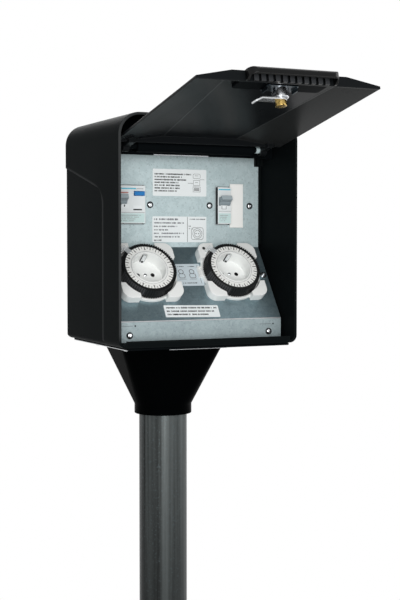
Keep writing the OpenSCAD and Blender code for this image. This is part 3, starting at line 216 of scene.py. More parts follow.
class NodeSheet:
    """Short calls that fill one node tree."""

    def __init__(self, tree: NodeTree) -> None:
        """Keeps the tree to fill."""
        self.tree = tree

    def join(self, value: Any, target: NodeSocket) -> None:
        """Links a socket to an input, or sets the input to a plain value.

        Args:
            value: Socket or value.
            target: The input.
        """
        if isinstance(value, NodeSocket):
            self.tree.links.new(value, target)
        else:
            target.default_value = value

    def add(self, kind: str, inputs: dict[Any, Any] | None = None, **settings: Any) -> Node:
        """Adds a node, sets it up and joins it.

        Args:
            kind: The node's type name.
            inputs: Values or sockets by input name or number.
            **settings: Properties of the node.

        Returns:
            The new node.
        """
        node = self.tree.nodes.new(kind)
        for name, value in settings.items():
            setattr(node, name, value)
        for key, value in (inputs or {}).items():
            self.join(value, node.inputs[key])
        return node

    def group(self, tree: NodeTree, inputs: dict[str, Any]) -> Any:
        """Returns the outputs of a shared group that is placed with its own values."""
        dressed = {key: rgba(value) for key, value in inputs.items()}
        return self.add("ShaderNodeGroup", dressed, node_tree=tree).outputs

    def place(self) -> NodeSocket:
        """Returns the coordinates of the piece itself."""
        return self.add("ShaderNodeTexCoord").outputs["Object"]

    def noise(self, vector: Any, scale: Any, detail: float) -> NodeSocket:
        """Returns a noise between 0 and 1 at a place, of a scale and a number of finer layers."""
        inputs = {"Vector": vector, "Scale": scale, "Detail": detail}
        return self.add("ShaderNodeTexNoise", inputs).outputs["Fac"]

    def bump(self, strength: Any, distance: float, height: Any) -> NodeSocket:
        """Returns a normal that a pattern of heights disturbs, of a strength and a depth in metres."""
        inputs = {"Strength": strength, "Distance": distance, "Height": height}
        return self.add("ShaderNodeBump", inputs).outputs["Normal"]

    def maths(self, operation: str, a: Any, b: Any = 0.0, clamp: bool = False) -> NodeSocket:
        """Returns the result of one operation on two values, held between 0 and 1 where clamp says so."""
        return self.add("ShaderNodeMath", {0: a, 1: b}, operation=operation, use_clamp=clamp).outputs[0]

    def blend(self, factor: Any, a: Any, b: Any) -> NodeSocket:
        """Returns a mix of two colours, the factor being the share of the second."""
        return self.add("ShaderNodeMix", {0: factor, 6: rgba(a), 7: rgba(b)}, data_type="RGBA").outputs[2]

    def spread(self, value: Any, low: float, high: float) -> NodeSocket:
        """Returns a value between 0 and 1 mapped to the range from low to high."""
        return self.add("ShaderNodeMapRange", {"Value": value, "To Min": low, "To Max": high}).outputs[0]

    def vector(self, x: Any = 0.0, y: Any = 0.0, z: Any = 0.0) -> NodeSocket:
        """Returns a vector of three values."""
        return self.add("ShaderNodeCombineXYZ", {0: x, 1: y, 2: z}).outputs[0]

    def attribute(self, name: str, kind: str = "FLOAT") -> NodeSocket:
        """Returns what the points carry under a name."""
        return self.add("GeometryNodeInputNamedAttribute", {"Name": name}, data_type=kind).outputs[0]

    def chance(self, index: Any, seed: Any, low: float = 0.0, high: float = 1.0) -> NodeSocket:
        """Returns a random value from low to high for each index."""
        inputs = {2: low, 3: high, 7: index, 8: seed}
        return self.add("FunctionNodeRandomValue", inputs, data_type="FLOAT").outputs[1]


def open_tree(
    name: str, kind: str, inputs: dict[str, Any], outputs: dict[str, Socket]
) -> tuple[NodeSheet, Any, Any]:
    """Opens a node tree with named sockets.

    Args:
        name: The tree's name.
        kind: Type name of the tree.
        inputs: First value of each input, or its kind where it starts empty.
        outputs: Kind of each output.

    Returns:
        The sheet to fill, the sockets that the tree is given and those that it ends in.
    """
    tree = bpy.data.node_groups.new(name, kind)
    for label, value in inputs.items():
        empty = isinstance(value, Socket)
        sort = value if empty else SOCKET_OF[type(value)]
        socket = tree.interface.new_socket(label, in_out="INPUT", socket_type=sort.value)
        if not empty:
            socket.default_value = rgba(value)
    for label, sort in outputs.items():
        tree.interface.new_socket(label, in_out="OUTPUT", socket_type=sort.value)
    sheet = NodeSheet(tree)
    return sheet, sheet.add("NodeGroupInput").outputs, sheet.add("NodeGroupOutput").inputs


class GroupShelf:
    """The shader effects that several finishes share, each built once."""

    KIND = "ShaderNodeTree"
    EDGE_GAIN = 4.0
    WARP = 0.012
    BROAD_GAIN = 2.2
    FINE_GAIN = 0.7
    FLAKE_SHARE = 0.4
    SPECK_FROM = 0.58
    SPECK_GAIN = 7.0
    SPECK_TONE = (0.10, 0.13, 0.14)
    # heights in metres over which the painted shade darkens the zinc towards the bottom
    FADE_Z = (0.74, 0.36)

    def __init__(self) -> None:
        """Builds every shared group."""
        self.grain = self._grain()
        self.seams = self._seams()
        self.edges = self._edges()
        self.spangle = self._spangle()
        self.lines = self._lines()

    def _grain(self) -> NodeTree:
        """Makes the fine texture and slow mottling of a moulded surface.

        Returns:
            The group.
        """
        sheet, given, out = open_tree(
            "moulded grain", self.KIND, {"Scale": 900.0, "Depth": 0.2},
            {"Normal": Socket.VECTOR, "Mottle": Socket.FLOAT},
        )
        place = sheet.place()
        fine = sheet.noise(place, given["Scale"], 3.0)
        sheet.join(sheet.bump(given["Depth"], 0.0004, fine), out["Normal"])
        sheet.join(sheet.noise(place, 14.0, 4.0), out["Mottle"])
        return sheet.tree

    def _seams(self) -> NodeTree:
        """Makes painted highlights: a pale line along a hood's moulded side step and a pale face on the left
        of its front rim.

        Returns:
            The group.
        """
        sheet, given, out = open_tree(
            "moulded seams", self.KIND,
            {"Front": -88.0, "Slant": 0.5, "Top": 1012.0, "Rear": 42.0, "Rise": 0.249, "Radius": 14.0,
             "Past": 0.9, "Width": 2.4, "Side": 112.9, "Rim": -141.9, "Foot": 806.0, "Fade": 0.1},
            {"Step": Socket.FLOAT, "Rim": Socket.FLOAT},
        )
        maths = sheet.maths
        scaled = sheet.add("ShaderNodeVectorMath", {0: sheet.place(), 1: (1 / MM,) * 3}, operation="MULTIPLY")
        axis = sheet.add("ShaderNodeSeparateXYZ", {0: scaled.outputs[0]}).outputs
        ahead = maths("MULTIPLY", maths("SUBTRACT", given["Front"], axis["Y"]), given["Slant"])
        back = maths("MULTIPLY", maths("SUBTRACT", axis["Y"], given["Rear"]), given["Rise"])
        above = maths("SUBTRACT", axis["Z"], maths("ADD", given["Top"], back))
        legs = [maths("ADD", leg, given["Radius"]) for leg in (ahead, above)]
        inner = maths("MINIMUM", maths("MAXIMUM", *legs), 0.0)
        squares = [maths("POWER", maths("MAXIMUM", leg, 0.0), 2.0) for leg in legs]
        outer = maths("SQRT", maths("ADD", *squares))
        off = maths("SUBTRACT", maths("ADD", inner, outer), maths("ADD", given["Radius"], given["Past"]))
        share = maths("DIVIDE", maths("ABSOLUTE", off), given["Width"])
        line = maths("SUBTRACT", 1.0, share, clamp=True)
        flank = maths("GREATER_THAN", maths("ABSOLUTE", axis["X"]), given["Side"])
        face = maths("LESS_THAN", axis["Y"], given["Rim"])
        near = maths("LESS_THAN", axis["X"], 0.0)
        high = maths("MULTIPLY", maths("SUBTRACT", axis["Z"], given["Foot"]), given["Fade"], clamp=True)
        # Step is a painted highlight line along the side step; Rim is a painted highlight on the left front
        # rim face
        sheet.join(maths("MULTIPLY", line, flank), out["Step"])
        sheet.join(maths("MULTIPLY", face, maths("MULTIPLY", near, high)), out["Rim"])
        return sheet.tree

    def _edges(self) -> NodeTree:
        """Makes the lighter tone of edges that hands have rubbed.

        Returns:
            The group.
        """
        sheet, given, out = open_tree(
            "rubbed edges", self.KIND,
            {"Colour": (0.1, 0.1, 0.1), "Worn": (0.3, 0.3, 0.3), "Radius": 0.0012, "Amount": 0.5},
            {"Colour": Socket.COLOUR},
        )
        rounded = sheet.add("ShaderNodeBevel", {"Radius": given["Radius"]}, samples=4).outputs[0]
        facing = sheet.add("ShaderNodeNewGeometry").outputs["Normal"]
        same = sheet.add("ShaderNodeVectorMath", {0: rounded, 1: facing}, operation="DOT_PRODUCT")
        apart = sheet.maths("SUBTRACT", 1.0, same.outputs["Value"])
        away = sheet.maths("MULTIPLY", apart, self.EDGE_GAIN, clamp=True)
        patch = sheet.maths("MULTIPLY", away, sheet.noise(sheet.place(), 90.0, 4.0))
        mask = sheet.maths("MULTIPLY", patch, given["Amount"])
        sheet.join(sheet.blend(mask, given["Colour"], given["Worn"]), out["Colour"])
        return sheet.tree

    def _spangle(self) -> NodeTree:
        """Makes the crystal flowers and drawn streaks of hot-dip zinc; strong streaks also paint reflection
        and shade bands, and a painted falloff darkens it towards the bottom.

        Returns:
            The group.
        """
        sheet, given, out = open_tree(
            "zinc spangle", self.KIND,
            {"Light": (0.7, 0.72, 0.74), "Dark": (0.5, 0.53, 0.56), "Cells": 180.0, "Streak": 0.2,
             "Specks": 0.0, "Fade": 0.0},
            {"Colour": Socket.COLOUR, "Tone": Socket.FLOAT, "Normal": Socket.VECTOR},
        )
        maths = sheet.maths
        place = sheet.place()
        warp = sheet.add("ShaderNodeTexNoise", {"Vector": place, "Scale": 300.0, "Detail": 2.0})
        both = {0: self.WARP, 4: place, 5: warp.outputs["Color"]}
        shifted = sheet.add("ShaderNodeMix", both, data_type="VECTOR").outputs[1]
        cells = sheet.add("ShaderNodeTexVoronoi", {"Vector": shifted, "Scale": given["Cells"]})
        flake = sheet.add("ShaderNodeSeparateColor", {0: cells.outputs["Color"]}).outputs[0]
        cloud = sheet.noise(place, 26.0, 6.0)
        drawn = sheet.add("ShaderNodeMapping", {"Vector": place, "Scale": (420.0, 420.0, 5.0)})
        fine = sheet.noise(drawn.outputs[0], 1.0, 3.0)
        # broad bands along the length; where the streak is strong, as on the tube, they are painted
        # reflections and painted shade
        bands = sheet.add("ShaderNodeMapping", {
            "Vector": place, "Scale": (62.0, 62.0, 0.6), "Location": (0.7, 0.0, 0.0),
        })
        broad = sheet.noise(bands.outputs[0], 1.0, 2.0)
        strong = maths("MULTIPLY", maths("SUBTRACT", broad, 0.5), self.BROAD_GAIN)
        light = maths("MULTIPLY", maths("SUBTRACT", fine, 0.5), self.FINE_GAIN)
        streak = maths("ADD", maths("ADD", strong, light), 0.5)
        flakes = maths("MULTIPLY", flake, self.FLAKE_SHARE)
        soft = maths("ADD", flakes, maths("MULTIPLY", cloud, 1.0 - self.FLAKE_SHARE))
        gap = maths("SUBTRACT", streak, soft)
        tone = maths("ADD", soft, maths("MULTIPLY", gap, given["Streak"]), clamp=True)
        fleck = maths("SUBTRACT", sheet.noise(place, 420.0, 2.0), self.SPECK_FROM, clamp=True)
        fleck = maths("MULTIPLY", maths("MULTIPLY", fleck, self.SPECK_GAIN, clamp=True), given["Specks"])
        colour = sheet.blend(tone, given["Dark"], given["Light"])
        colour = sheet.blend(fleck, colour, self.SPECK_TONE)
        # painted shade: darker towards the bottom
        height = sheet.add("ShaderNodeSeparateXYZ", {0: place}).outputs["Z"]
        down = sheet.add("ShaderNodeMapRange", {
            "Value": height, "From Min": self.FADE_Z[0], "From Max": self.FADE_Z[1],
        }).outputs[0]
        colour = sheet.blend(maths("MULTIPLY", down, given["Fade"]), colour, (0.0, 0.0, 0.0))
        sheet.join(colour, out["Colour"])
        sheet.join(tone, out["Tone"])
        sheet.join(sheet.bump(0.06, 0.0003, tone), out["Normal"])
        return sheet.tree

    def _lines(self) -> NodeTree:
        """Makes the fine drawn lines of turned and rolled metal.

        Returns:
            The group.
        """
        sheet, given, out = open_tree(
            "drawn lines", self.KIND, {"Scale": 60.0, "Depth": 0.1},
            {"Tone": Socket.FLOAT, "Normal": Socket.VECTOR},
        )
        drawn = sheet.add("ShaderNodeMapping", {"Vector": sheet.place(), "Scale": (1.0, 24.0, 24.0)})
        tone = sheet.noise(drawn.outputs[0], given["Scale"], 4.0)
        sheet.join(tone, out["Tone"])
        sheet.join(sheet.bump(given["Depth"], 0.0002, tone), out["Normal"])
        return sheet.tree


def open_material(name: str) -> tuple[Material, NodeSheet, Node]:
    """Starts a material.

    Args:
        name: The material's name.

    Returns:
        The material, the sheet of its nodes and its Principled shader.
    """
    material = bpy.data.materials.new(name)
    material.use_nodes = True
    return material, NodeSheet(material.node_tree), material.node_tree.nodes["Principled BSDF"]


@dataclass(frozen=True)
class Coat:
    """What every finish has: the slot it belongs to, and the way to its material."""

    slot: str

    def surface(self, sheet: NodeSheet, shelf: GroupShelf) -> dict[str, Any]:
        """Gives what the shader gets; each kind of finish has its own.

        Args:
            sheet: Sheet of the material's nodes.
            shelf: The shared groups.

        Returns:
            Values or sockets by the shader's input names.
        """
        raise NotImplementedError

    def material(self, name: str, shelf: GroupShelf) -> Material:
        """Builds the material.

        Args:
            name: The material's name.
            shelf: The shared groups.

        Returns:
            The material.
        """
        material, sheet, shader = open_material(name)
        for label, value in self.surface(sheet, shelf).items():
            sheet.join(value, shader.inputs[label])
        return material


@dataclass(frozen=True)
class MouldedPlastic(Coat):
    """Moulded plastic or powder paint: two close tones, fine grain, rubbed edges and, on the hood, a painted
    highlight along its side step and front rim.
    """

    SMOOTHER = 0.05
    ROUGHER = 0.07
    WORN_GAIN = 2.2
    WORN_LIFT = 0.06
    colour: Colour
    shade: Colour
    roughness: float = 0.45
    grain: float = 900.0
    depth: float = 0.15
    worn: float = 0.0
    seam: Colour | None = None
    specular: float = 0.5

    def surface(self, sheet: NodeSheet, shelf: GroupShelf) -> dict[str, Any]:
        """Gives what the shader gets.

        Args:
            sheet: Sheet of the material's nodes.
            shelf: The shared groups.

        Returns:
            Values or sockets by the shader's input names.
        """
        grain = sheet.group(shelf.grain, {"Scale": self.grain, "Depth": self.depth})
        mottle = grain["Mottle"]
        colour = sheet.blend(mottle, self.shade, self.colour)
        if self.worn:
            pale = tuple(min(1.0, c * self.WORN_GAIN + self.WORN_LIFT) for c in self.colour)
            rubbed = {"Colour": colour, "Worn": pale, "Amount": self.worn}
            colour = sheet.group(shelf.edges, rubbed)["Colour"]
        # painted highlight: the pale side-step line and front rim face of the hood
        if self.seam:
            seams = sheet.group(shelf.seams, {})
            colour = sheet.blend(sheet.maths("MAXIMUM", seams["Step"], seams["Rim"]), colour, self.seam)
        return {
            "Base Color": colour, "Normal": grain["Normal"], "Specular IOR Level": self.specular,
            "Roughness": sheet.spread(mottle, self.roughness - self.SMOOTHER, self.roughness + self.ROUGHER),
        }


@dataclass(frozen=True)
class ZincSheet(Coat):
    """Galvanised steel with spangle and, on the tube, streaks along its length that are partly painted
    reflection and shade bands, and painted shade towards the bottom.
    """

    UNEVEN = 0.08
    light: Colour
    dark: Colour
    cells: float = 180.0
    streak: float = 0.1
    roughness: float = 0.42
    metallic: float = 0.7
    specks: float = 0.0
    fade: float = 0.0
    specular: float = 0.5

    def surface(self, sheet: NodeSheet, shelf: GroupShelf) -> dict[str, Any]:
        """Gives what the shader gets.

        Args:
            sheet: Sheet of the material's nodes.
            shelf: The shared groups.

        Returns:
            Values or sockets by the shader's input names.
        """
        zinc = sheet.group(shelf.spangle, {
            "Light": self.light, "Dark": self.dark, "Cells": self.cells, "Streak": self.streak,
            "Specks": self.specks, "Fade": self.fade,
        })
        rough = sheet.spread(zinc["Tone"], self.roughness + self.UNEVEN, self.roughness - self.UNEVEN)
        return {
            "Base Color": zinc["Colour"], "Normal": zinc["Normal"], "Metallic": self.metallic,
            "Roughness": rough, "Specular IOR Level": self.specular,
        }


@dataclass(frozen=True)
class PlatedMetal(Coat):
    """Bright plated or rolled metal with fine drawn lines."""

    SMOOTHER = 0.06
    ROUGHER = 0.08
    light: Colour
    dark: Colour
    roughness: float = 0.25
    scale: float = 60.0
    depth: float = 0.08

    def surface(self, sheet: NodeSheet, shelf: GroupShelf) -> dict[str, Any]:
        """Gives what the shader gets.

        Args:
            sheet: Sheet of the material's nodes.
            shelf: The shared groups.

        Returns:
            Values or sockets by the shader's input names.
        """
        drawn = sheet.group(shelf.lines, {"Scale": self.scale, "Depth": self.depth})
        tone = drawn["Tone"]
        return {
            "Base Color": sheet.blend(tone, self.dark, self.light), "Normal": drawn["Normal"],
            "Roughness": sheet.spread(tone, self.roughness - self.SMOOTHER, self.roughness + self.ROUGHER),
            "Metallic": 1.0,
        }


@dataclass(frozen=True)
class ClearPlastic(Coat):
    """Clear moulded plastic with a little surface ripple."""

    RIPPLE = {"Scale": 120.0, "Depth": 0.05}
    ROUGHER = 0.06
    UNEVEN = 0.04
    colour: Colour
    shade: Colour
    roughness: float = 0.08
    opacity: float = 0.32

    def surface(self, sheet: NodeSheet, shelf: GroupShelf) -> dict[str, Any]:
        """Gives what the shader gets.

        Args:
            sheet: Sheet of the material's nodes.
            shelf: The shared groups.

        Returns:
            Values or sockets by the shader's input names.
        """
        grain = sheet.group(shelf.grain, self.RIPPLE)
        mottle = grain["Mottle"]
        return {
            "Base Color": sheet.blend(mottle, self.shade, self.colour), "Normal": grain["Normal"],
            "Roughness": sheet.spread(mottle, self.roughness, self.roughness + self.ROUGHER),
            "Alpha": sheet.spread(mottle, self.opacity - self.UNEVEN, self.opacity + self.UNEVEN),
        }


class Finish(Enum):
    """Every finish on the part."""

    # seam is the colour of the painted highlight on the hood's side step and front rim
    HOOD = MouldedPlastic("black_shell", (0.0046, 0.0060, 0.0064), (0.0034, 0.0046, 0.0050), 0.42, 1400, 0.10,
                          worn=0.35, seam=(0.034, 0.036, 0.037), specular=0.004)
    LID = MouldedPlastic("black_shell", (0.0080, 0.0092, 0.0102), (0.0062, 0.0072, 0.0080), 0.28, 1400, 0.06,
                         worn=0.3, specular=0.03)
    # painted light: a paler copy of LID for the inside of the right wing
    LID_WING = MouldedPlastic("black_shell", (0.0175, 0.0187, 0.0187), (0.0142, 0.0152, 0.0154),
                              0.28, 1400, 0.06, specular=0.03)
    # painted highlight along the creases inside the lid
    LID_LINE = MouldedPlastic("black_shell", (0.030, 0.032, 0.033), (0.024, 0.026, 0.027), 0.4, 1400, 0.06,
                              specular=0.1)
    HANDLE = MouldedPlastic("black_shell", (0.0030, 0.0033, 0.0035), (0.0022, 0.0024, 0.0026),
                            0.26, 1200, 0.05, specular=0.16)
    # painted light: a paler copy of the handle's black for the front ends of its ribs
    RIB = MouldedPlastic("black_shell", (0.036, 0.038, 0.041), (0.029, 0.031, 0.034), 0.3, 1200, 0.05,
                         specular=0.2)
    NECK = MouldedPlastic("black_shell", (0.0005, 0.0007, 0.0008), (0.0003, 0.0005, 0.0006), 0.30, 1200, 0.08,
                          specular=0.004)
    INNER_BLACK = MouldedPlastic("black_shell", (0.0030, 0.0040, 0.0047), (0.0020, 0.0028, 0.0034),
                                 0.5, 1200, 0.1, specular=0.01)
    PANEL = ZincSheet("galvanised", (0.565, 0.665, 0.68), (0.36, 0.46, 0.475), 240, 0.08, 0.52, 0.30, 0.34)
    # painted shade: darker copies of the panel's zinc for the slope and the lower flange
    SLOPE = ZincSheet("galvanised", (0.29, 0.385, 0.42), (0.135, 0.20, 0.225), 240, 0.08, 0.40, 0.82, 0.34)
    FLANGE = ZincSheet("galvanised", (0.38, 0.46, 0.475), (0.24, 0.30, 0.315), 240, 0.08, 0.52, 0.40, 0.34)
    # the tube's strong streak paints reflection and shade bands, and fade paints shade towards the bottom
    TUBE = ZincSheet("galvanised", (0.118, 0.132, 0.132), (0.004, 0.0045, 0.0045), 140, 0.9, 0.40, 0.45,
                     specks=0.4, fade=0.72, specular=0.1)
    PLATE = ZincSheet("galvanised", (0.66, 0.68, 0.69), (0.52, 0.54, 0.56), 200, 0.1, 0.36, 0.75, 0.2)
    ZINC = PlatedMetal("zinc", (0.80, 0.82, 0.83), (0.62, 0.64, 0.66), 0.26)
    NICKEL = PlatedMetal("nickel", (0.72, 0.74, 0.76), (0.56, 0.58, 0.61), 0.18, 90, 0.05)
    BLUED = PlatedMetal("zinc", (0.06, 0.08, 0.095), (0.035, 0.048, 0.058), 0.28)
    BRASS = PlatedMetal("brass", (0.66, 0.47, 0.16), (0.30, 0.19, 0.05), 0.22, 160, 0.12)
    WHITE = MouldedPlastic("white_plastic", (0.85, 0.865, 0.85), (0.82, 0.835, 0.82), 0.38, 900, 0.06)
    DIAL = MouldedPlastic("white_plastic", (0.86, 0.865, 0.84), (0.83, 0.835, 0.81), 0.42, 900, 0.05)
    CREAM = MouldedPlastic("white_plastic", (0.87, 0.875, 0.85), (0.85, 0.855, 0.83), 0.40, 900, 0.06)
    BREAKER = MouldedPlastic("grey_plastic", (0.74, 0.78, 0.785), (0.71, 0.75, 0.755), 0.40, 900, 0.08)
    BREAKER_PLATE = MouldedPlastic("grey_plastic", (0.55, 0.70, 0.69), (0.52, 0.67, 0.66), 0.36, 700, 0.05)
    TOGGLE = MouldedPlastic("toggle_grey", (0.42, 0.49, 0.515), (0.385, 0.455, 0.48), 0.36, 900, 0.06)
    # painted shade: a darker copy of TOGGLE for the levers' downward faces
    TOGGLE_LOW = MouldedPlastic("toggle_grey", (0.25, 0.30, 0.325), (0.225, 0.275, 0.30), 0.40, 900, 0.06)
    BUTTON = MouldedPlastic("button_blue", (0.018, 0.19, 0.50), (0.014, 0.17, 0.46), 0.34, 900, 0.05,
                            specular=0.3)
    CYAN = MouldedPlastic("button_blue", (0.10, 0.48, 0.62), (0.085, 0.44, 0.58), 0.4, 900, 0.04)
    RED = MouldedPlastic("override_red", (0.42, 0.12, 0.09), (0.36, 0.10, 0.08), 0.4, 900, 0.06)
    TAPPET = MouldedPlastic("black_tappets", (0.0085, 0.009, 0.0095), (0.006, 0.0064, 0.0068),
                            0.42, 1400, 0.08, specular=0.25)
    # painted sheen: a greyer copy of TAPPET for the stretch of tappets set the other way
    TAPPET_GREY = MouldedPlastic("black_tappets", (0.05, 0.052, 0.055), (0.04, 0.042, 0.045), 0.5, 1400, 0.08,
                                 specular=0.3)
    INK = MouldedPlastic("black_tappets", (0.012, 0.012, 0.014), (0.009, 0.009, 0.011), 0.6, 900, 0.03,
                         specular=0.2)
    GREY_INK = MouldedPlastic("grey_plastic", (0.16, 0.17, 0.18), (0.13, 0.14, 0.15), 0.6, 900, 0.03,
                              specular=0.2)
    PALE_INK = MouldedPlastic("grey_plastic", (0.34, 0.36, 0.37), (0.31, 0.33, 0.34), 0.6, 900, 0.03,
                              specular=0.2)
    LABEL = MouldedPlastic("white_plastic", (0.79, 0.83, 0.835), (0.76, 0.80, 0.805), 0.42, 500, 0.03)
    LABEL_BLUE = MouldedPlastic("white_plastic", (0.60, 0.68, 0.72), (0.56, 0.64, 0.68), 0.42, 500, 0.03)
    CLEAR = ClearPlastic("clear_plastic", (0.86, 0.90, 0.92), (0.80, 0.86, 0.88))
    RUBBER = MouldedPlastic("rubber", (0.012, 0.012, 0.013), (0.009, 0.009, 0.010), 0.7, 700, 0.2,
                            specular=0.2)
    WIRE_BROWN = MouldedPlastic("wire_brown", (0.20, 0.10, 0.05), (0.17, 0.085, 0.042), 0.4, 900, 0.05)
    WIRE_BLUE = MouldedPlastic("wire_blue", (0.06, 0.14, 0.32), (0.05, 0.12, 0.28), 0.4, 900, 0.05)
    WIRE_GREEN = MouldedPlastic("wire_green", (0.24, 0.34, 0.06), (0.20, 0.30, 0.05), 0.4, 900, 0.05)


def link(item: Object) -> Object:
    """Puts an object into the scene and hands it back."""
    bpy.context.scene.collection.objects.link(item)
    return item


def evaluated(item: Object) -> Mesh:
    """Turns a linked object into a plain mesh, with its modifiers applied, and removes the object.

    Args:
        item: The object; it is used up.

    Returns:
        The mesh.
    """
    bpy.context.view_layer.update()
    graph = bpy.context.evaluated_depsgraph_get()
    mesh = bpy.data.meshes.new_from_object(item.evaluated_get(graph))
    item.modifiers.clear()
    bpy.data.objects.remove(item)
    return mesh


def round_edges(bm: bmesh.types.BMesh, width: float, segments: int, angle: float) -> None:
    """Rounds every edge that is sharper than an angle.

    Args:
        bm: The mesh to change.
        width: Width of the rounding.
        segments: Steps in the rounding.
        angle: Least angle between the two faces, in degrees.
    """
    limit = math.radians(angle)
    sharp = [edge for edge in bm.edges if edge.is_manifold and edge.calc_face_angle(0.0) > limit]
    if sharp:
        bmesh.ops.bevel(
            bm, geom=sharp, offset=width, offset_type="OFFSET", segments=segments, profile=0.5,
            affect="EDGES", clamp_overlap=False,
        )


def circle(r: float, x: float = 0.0, y: float = 0.0, steps: int = 32) -> list[Point2]:
    """Gives the points of a circle of radius r round x and y."""
    turns = [TURN * i / steps for i in range(steps)]
    return [(x + r * math.cos(a), y + r * math.sin(a)) for a in turns]


def rounded_box(w: float, h: float, r: float, x: float = 0.0, y: float = 0.0) -> list[Point2]:
    """Gives an outline with round corners.

    Args:
        w: Width.
        h: Height.
        r: Corner radius.
        x: Middle of the outline along X.
        y: Middle of the outline along Y.

    Returns:
        The outline's points, counter-clockwise.
    """
    steps = 5
    points = []
    for turn, sx, sy in ((0, 1, 1), (90, -1, 1), (180, -1, -1), (270, 1, -1)):
        for i in range(steps + 1):
            a = math.radians(turn + 90.0 * i / steps)
            points.append((x + sx * (w / 2 - r) + r * math.cos(a), y + sy * (h / 2 - r) + r * math.sin(a)))
    return points


class Shape:
    """A mesh under construction in local millimetres, with a material number on each face."""

    STEPS = 2
    ANGLE = 30.0

    def __init__(self) -> None:
        """Starts with nothing."""
        self.bm = bmesh.new()

    def join(self, mesh: Mesh) -> None:
        """Adds a finished mesh and uses it up."""
        self.bm.from_mesh(mesh)
        bpy.data.meshes.remove(mesh)

    def _take(self, part: bmesh.types.BMesh, mat: int = 0) -> Shape:
        """Adds one solid with smooth faces that point outwards.

        Args:
            part: The solid; it is freed.
            mat: Material number of its faces.

        Returns:
            This shape.
        """
        bmesh.ops.recalc_face_normals(part, faces=part.faces)
        for face in part.faces:
            face.material_index = mat
            face.smooth = True
        mesh = bpy.data.meshes.new("part")
        part.to_mesh(mesh)
        part.free()
        self.join(mesh)
        return self

    def prism(
        self, outline: Sequence[Point2], low: float, high: float, bevel: float = 0.0, mat: int = 0
    ) -> Shape:
        """Adds an upright prism with rounded edges.

        Args:
            outline: Corner points, counter-clockwise.
            low: Lower end.
            high: Upper end.
            bevel: Width of the rounded edges.
            mat: Material number.

        Returns:
            This shape.
        """
        part = bmesh.new()
        lower = [part.verts.new((x, y, low)) for x, y in outline]
        upper = [part.verts.new((x, y, high)) for x, y in outline]
        part.faces.new(lower[::-1])
        part.faces.new(upper)
        for i in range(len(outline)):
            j = (i + 1) % len(outline)
            part.faces.new((lower[i], lower[j], upper[j], upper[i]))
        if bevel:
            round_edges(part, bevel, self.STEPS, self.ANGLE)
        return self._take(part, mat)

    def block(self, low: Point3, high: Point3, bevel: float = 0.0, mat: int = 0) -> Shape:
        """Adds a block between two corners, with rounded edges and a material number."""
        outline = [(low[0], low[1]), (high[0], low[1]), (high[0], high[1]), (low[0], high[1])]
        return self.prism(outline, low[2], high[2], bevel, mat)

    def band(self, outer: Sequence[Point2], inner: Sequence[Point2], low: float, high: float) -> Shape:
        """Adds an upright band between two outlines with the same number of points.

        Args:
            outer: Outer outline, counter-clockwise.
            inner: Inner outline, counter-clockwise.
            low: Lower end.
            high: Upper end.

        Returns:
            This shape.
        """
        part = bmesh.new()
        loops = [[part.verts.new((x, y, z)) for x, y in line]
                 for line, z in ((outer, low), (outer, high), (inner, high), (inner, low))]
        for k, loop in enumerate(loops):
            after = loops[(k + 1) % 4]
            for i in range(len(loop)):
                j = (i + 1) % len(loop)
                part.faces.new((loop[i], loop[j], after[j], after[i]))
        return self._take(part)

    def revolve(self, profile: Sequence[Point2], steps: int = 64, x: float = 0.0) -> Shape:
        """Adds a solid turned about an axis along Z.

        Args:
            profile: Radius and height of each point of a closed section.
            steps: Number of facets round the axis.
            x: Place of the axis along X.

        Returns:
            This shape.
        """
        part = bmesh.new()
        rings = []
        for radius, height in profile:
            if radius < 1e-6:
                rings.append([part.verts.new((x, 0.0, height))] * steps)
            else:
                rings.append([part.verts.new((*point, height)) for point in circle(radius, x, steps=steps)])
        for k, ring in enumerate(rings):
            after = rings[(k + 1) % len(rings)]
            for i in range(steps):
                j = (i + 1) % steps
                corners = list(dict.fromkeys((ring[i], ring[j], after[j], after[i])))
                if len(corners) > 2:
                    part.faces.new(corners)
        return self._take(part)

    def mesh(self, name: str) -> Mesh:
        """Closes the shape.

        Args:
            name: Name of the mesh.

        Returns:
            A mesh, still in local millimetres.
        """
        mesh = bpy.data.meshes.new(name)
        self.bm.to_mesh(mesh)
        self.bm.free()
        return mesh


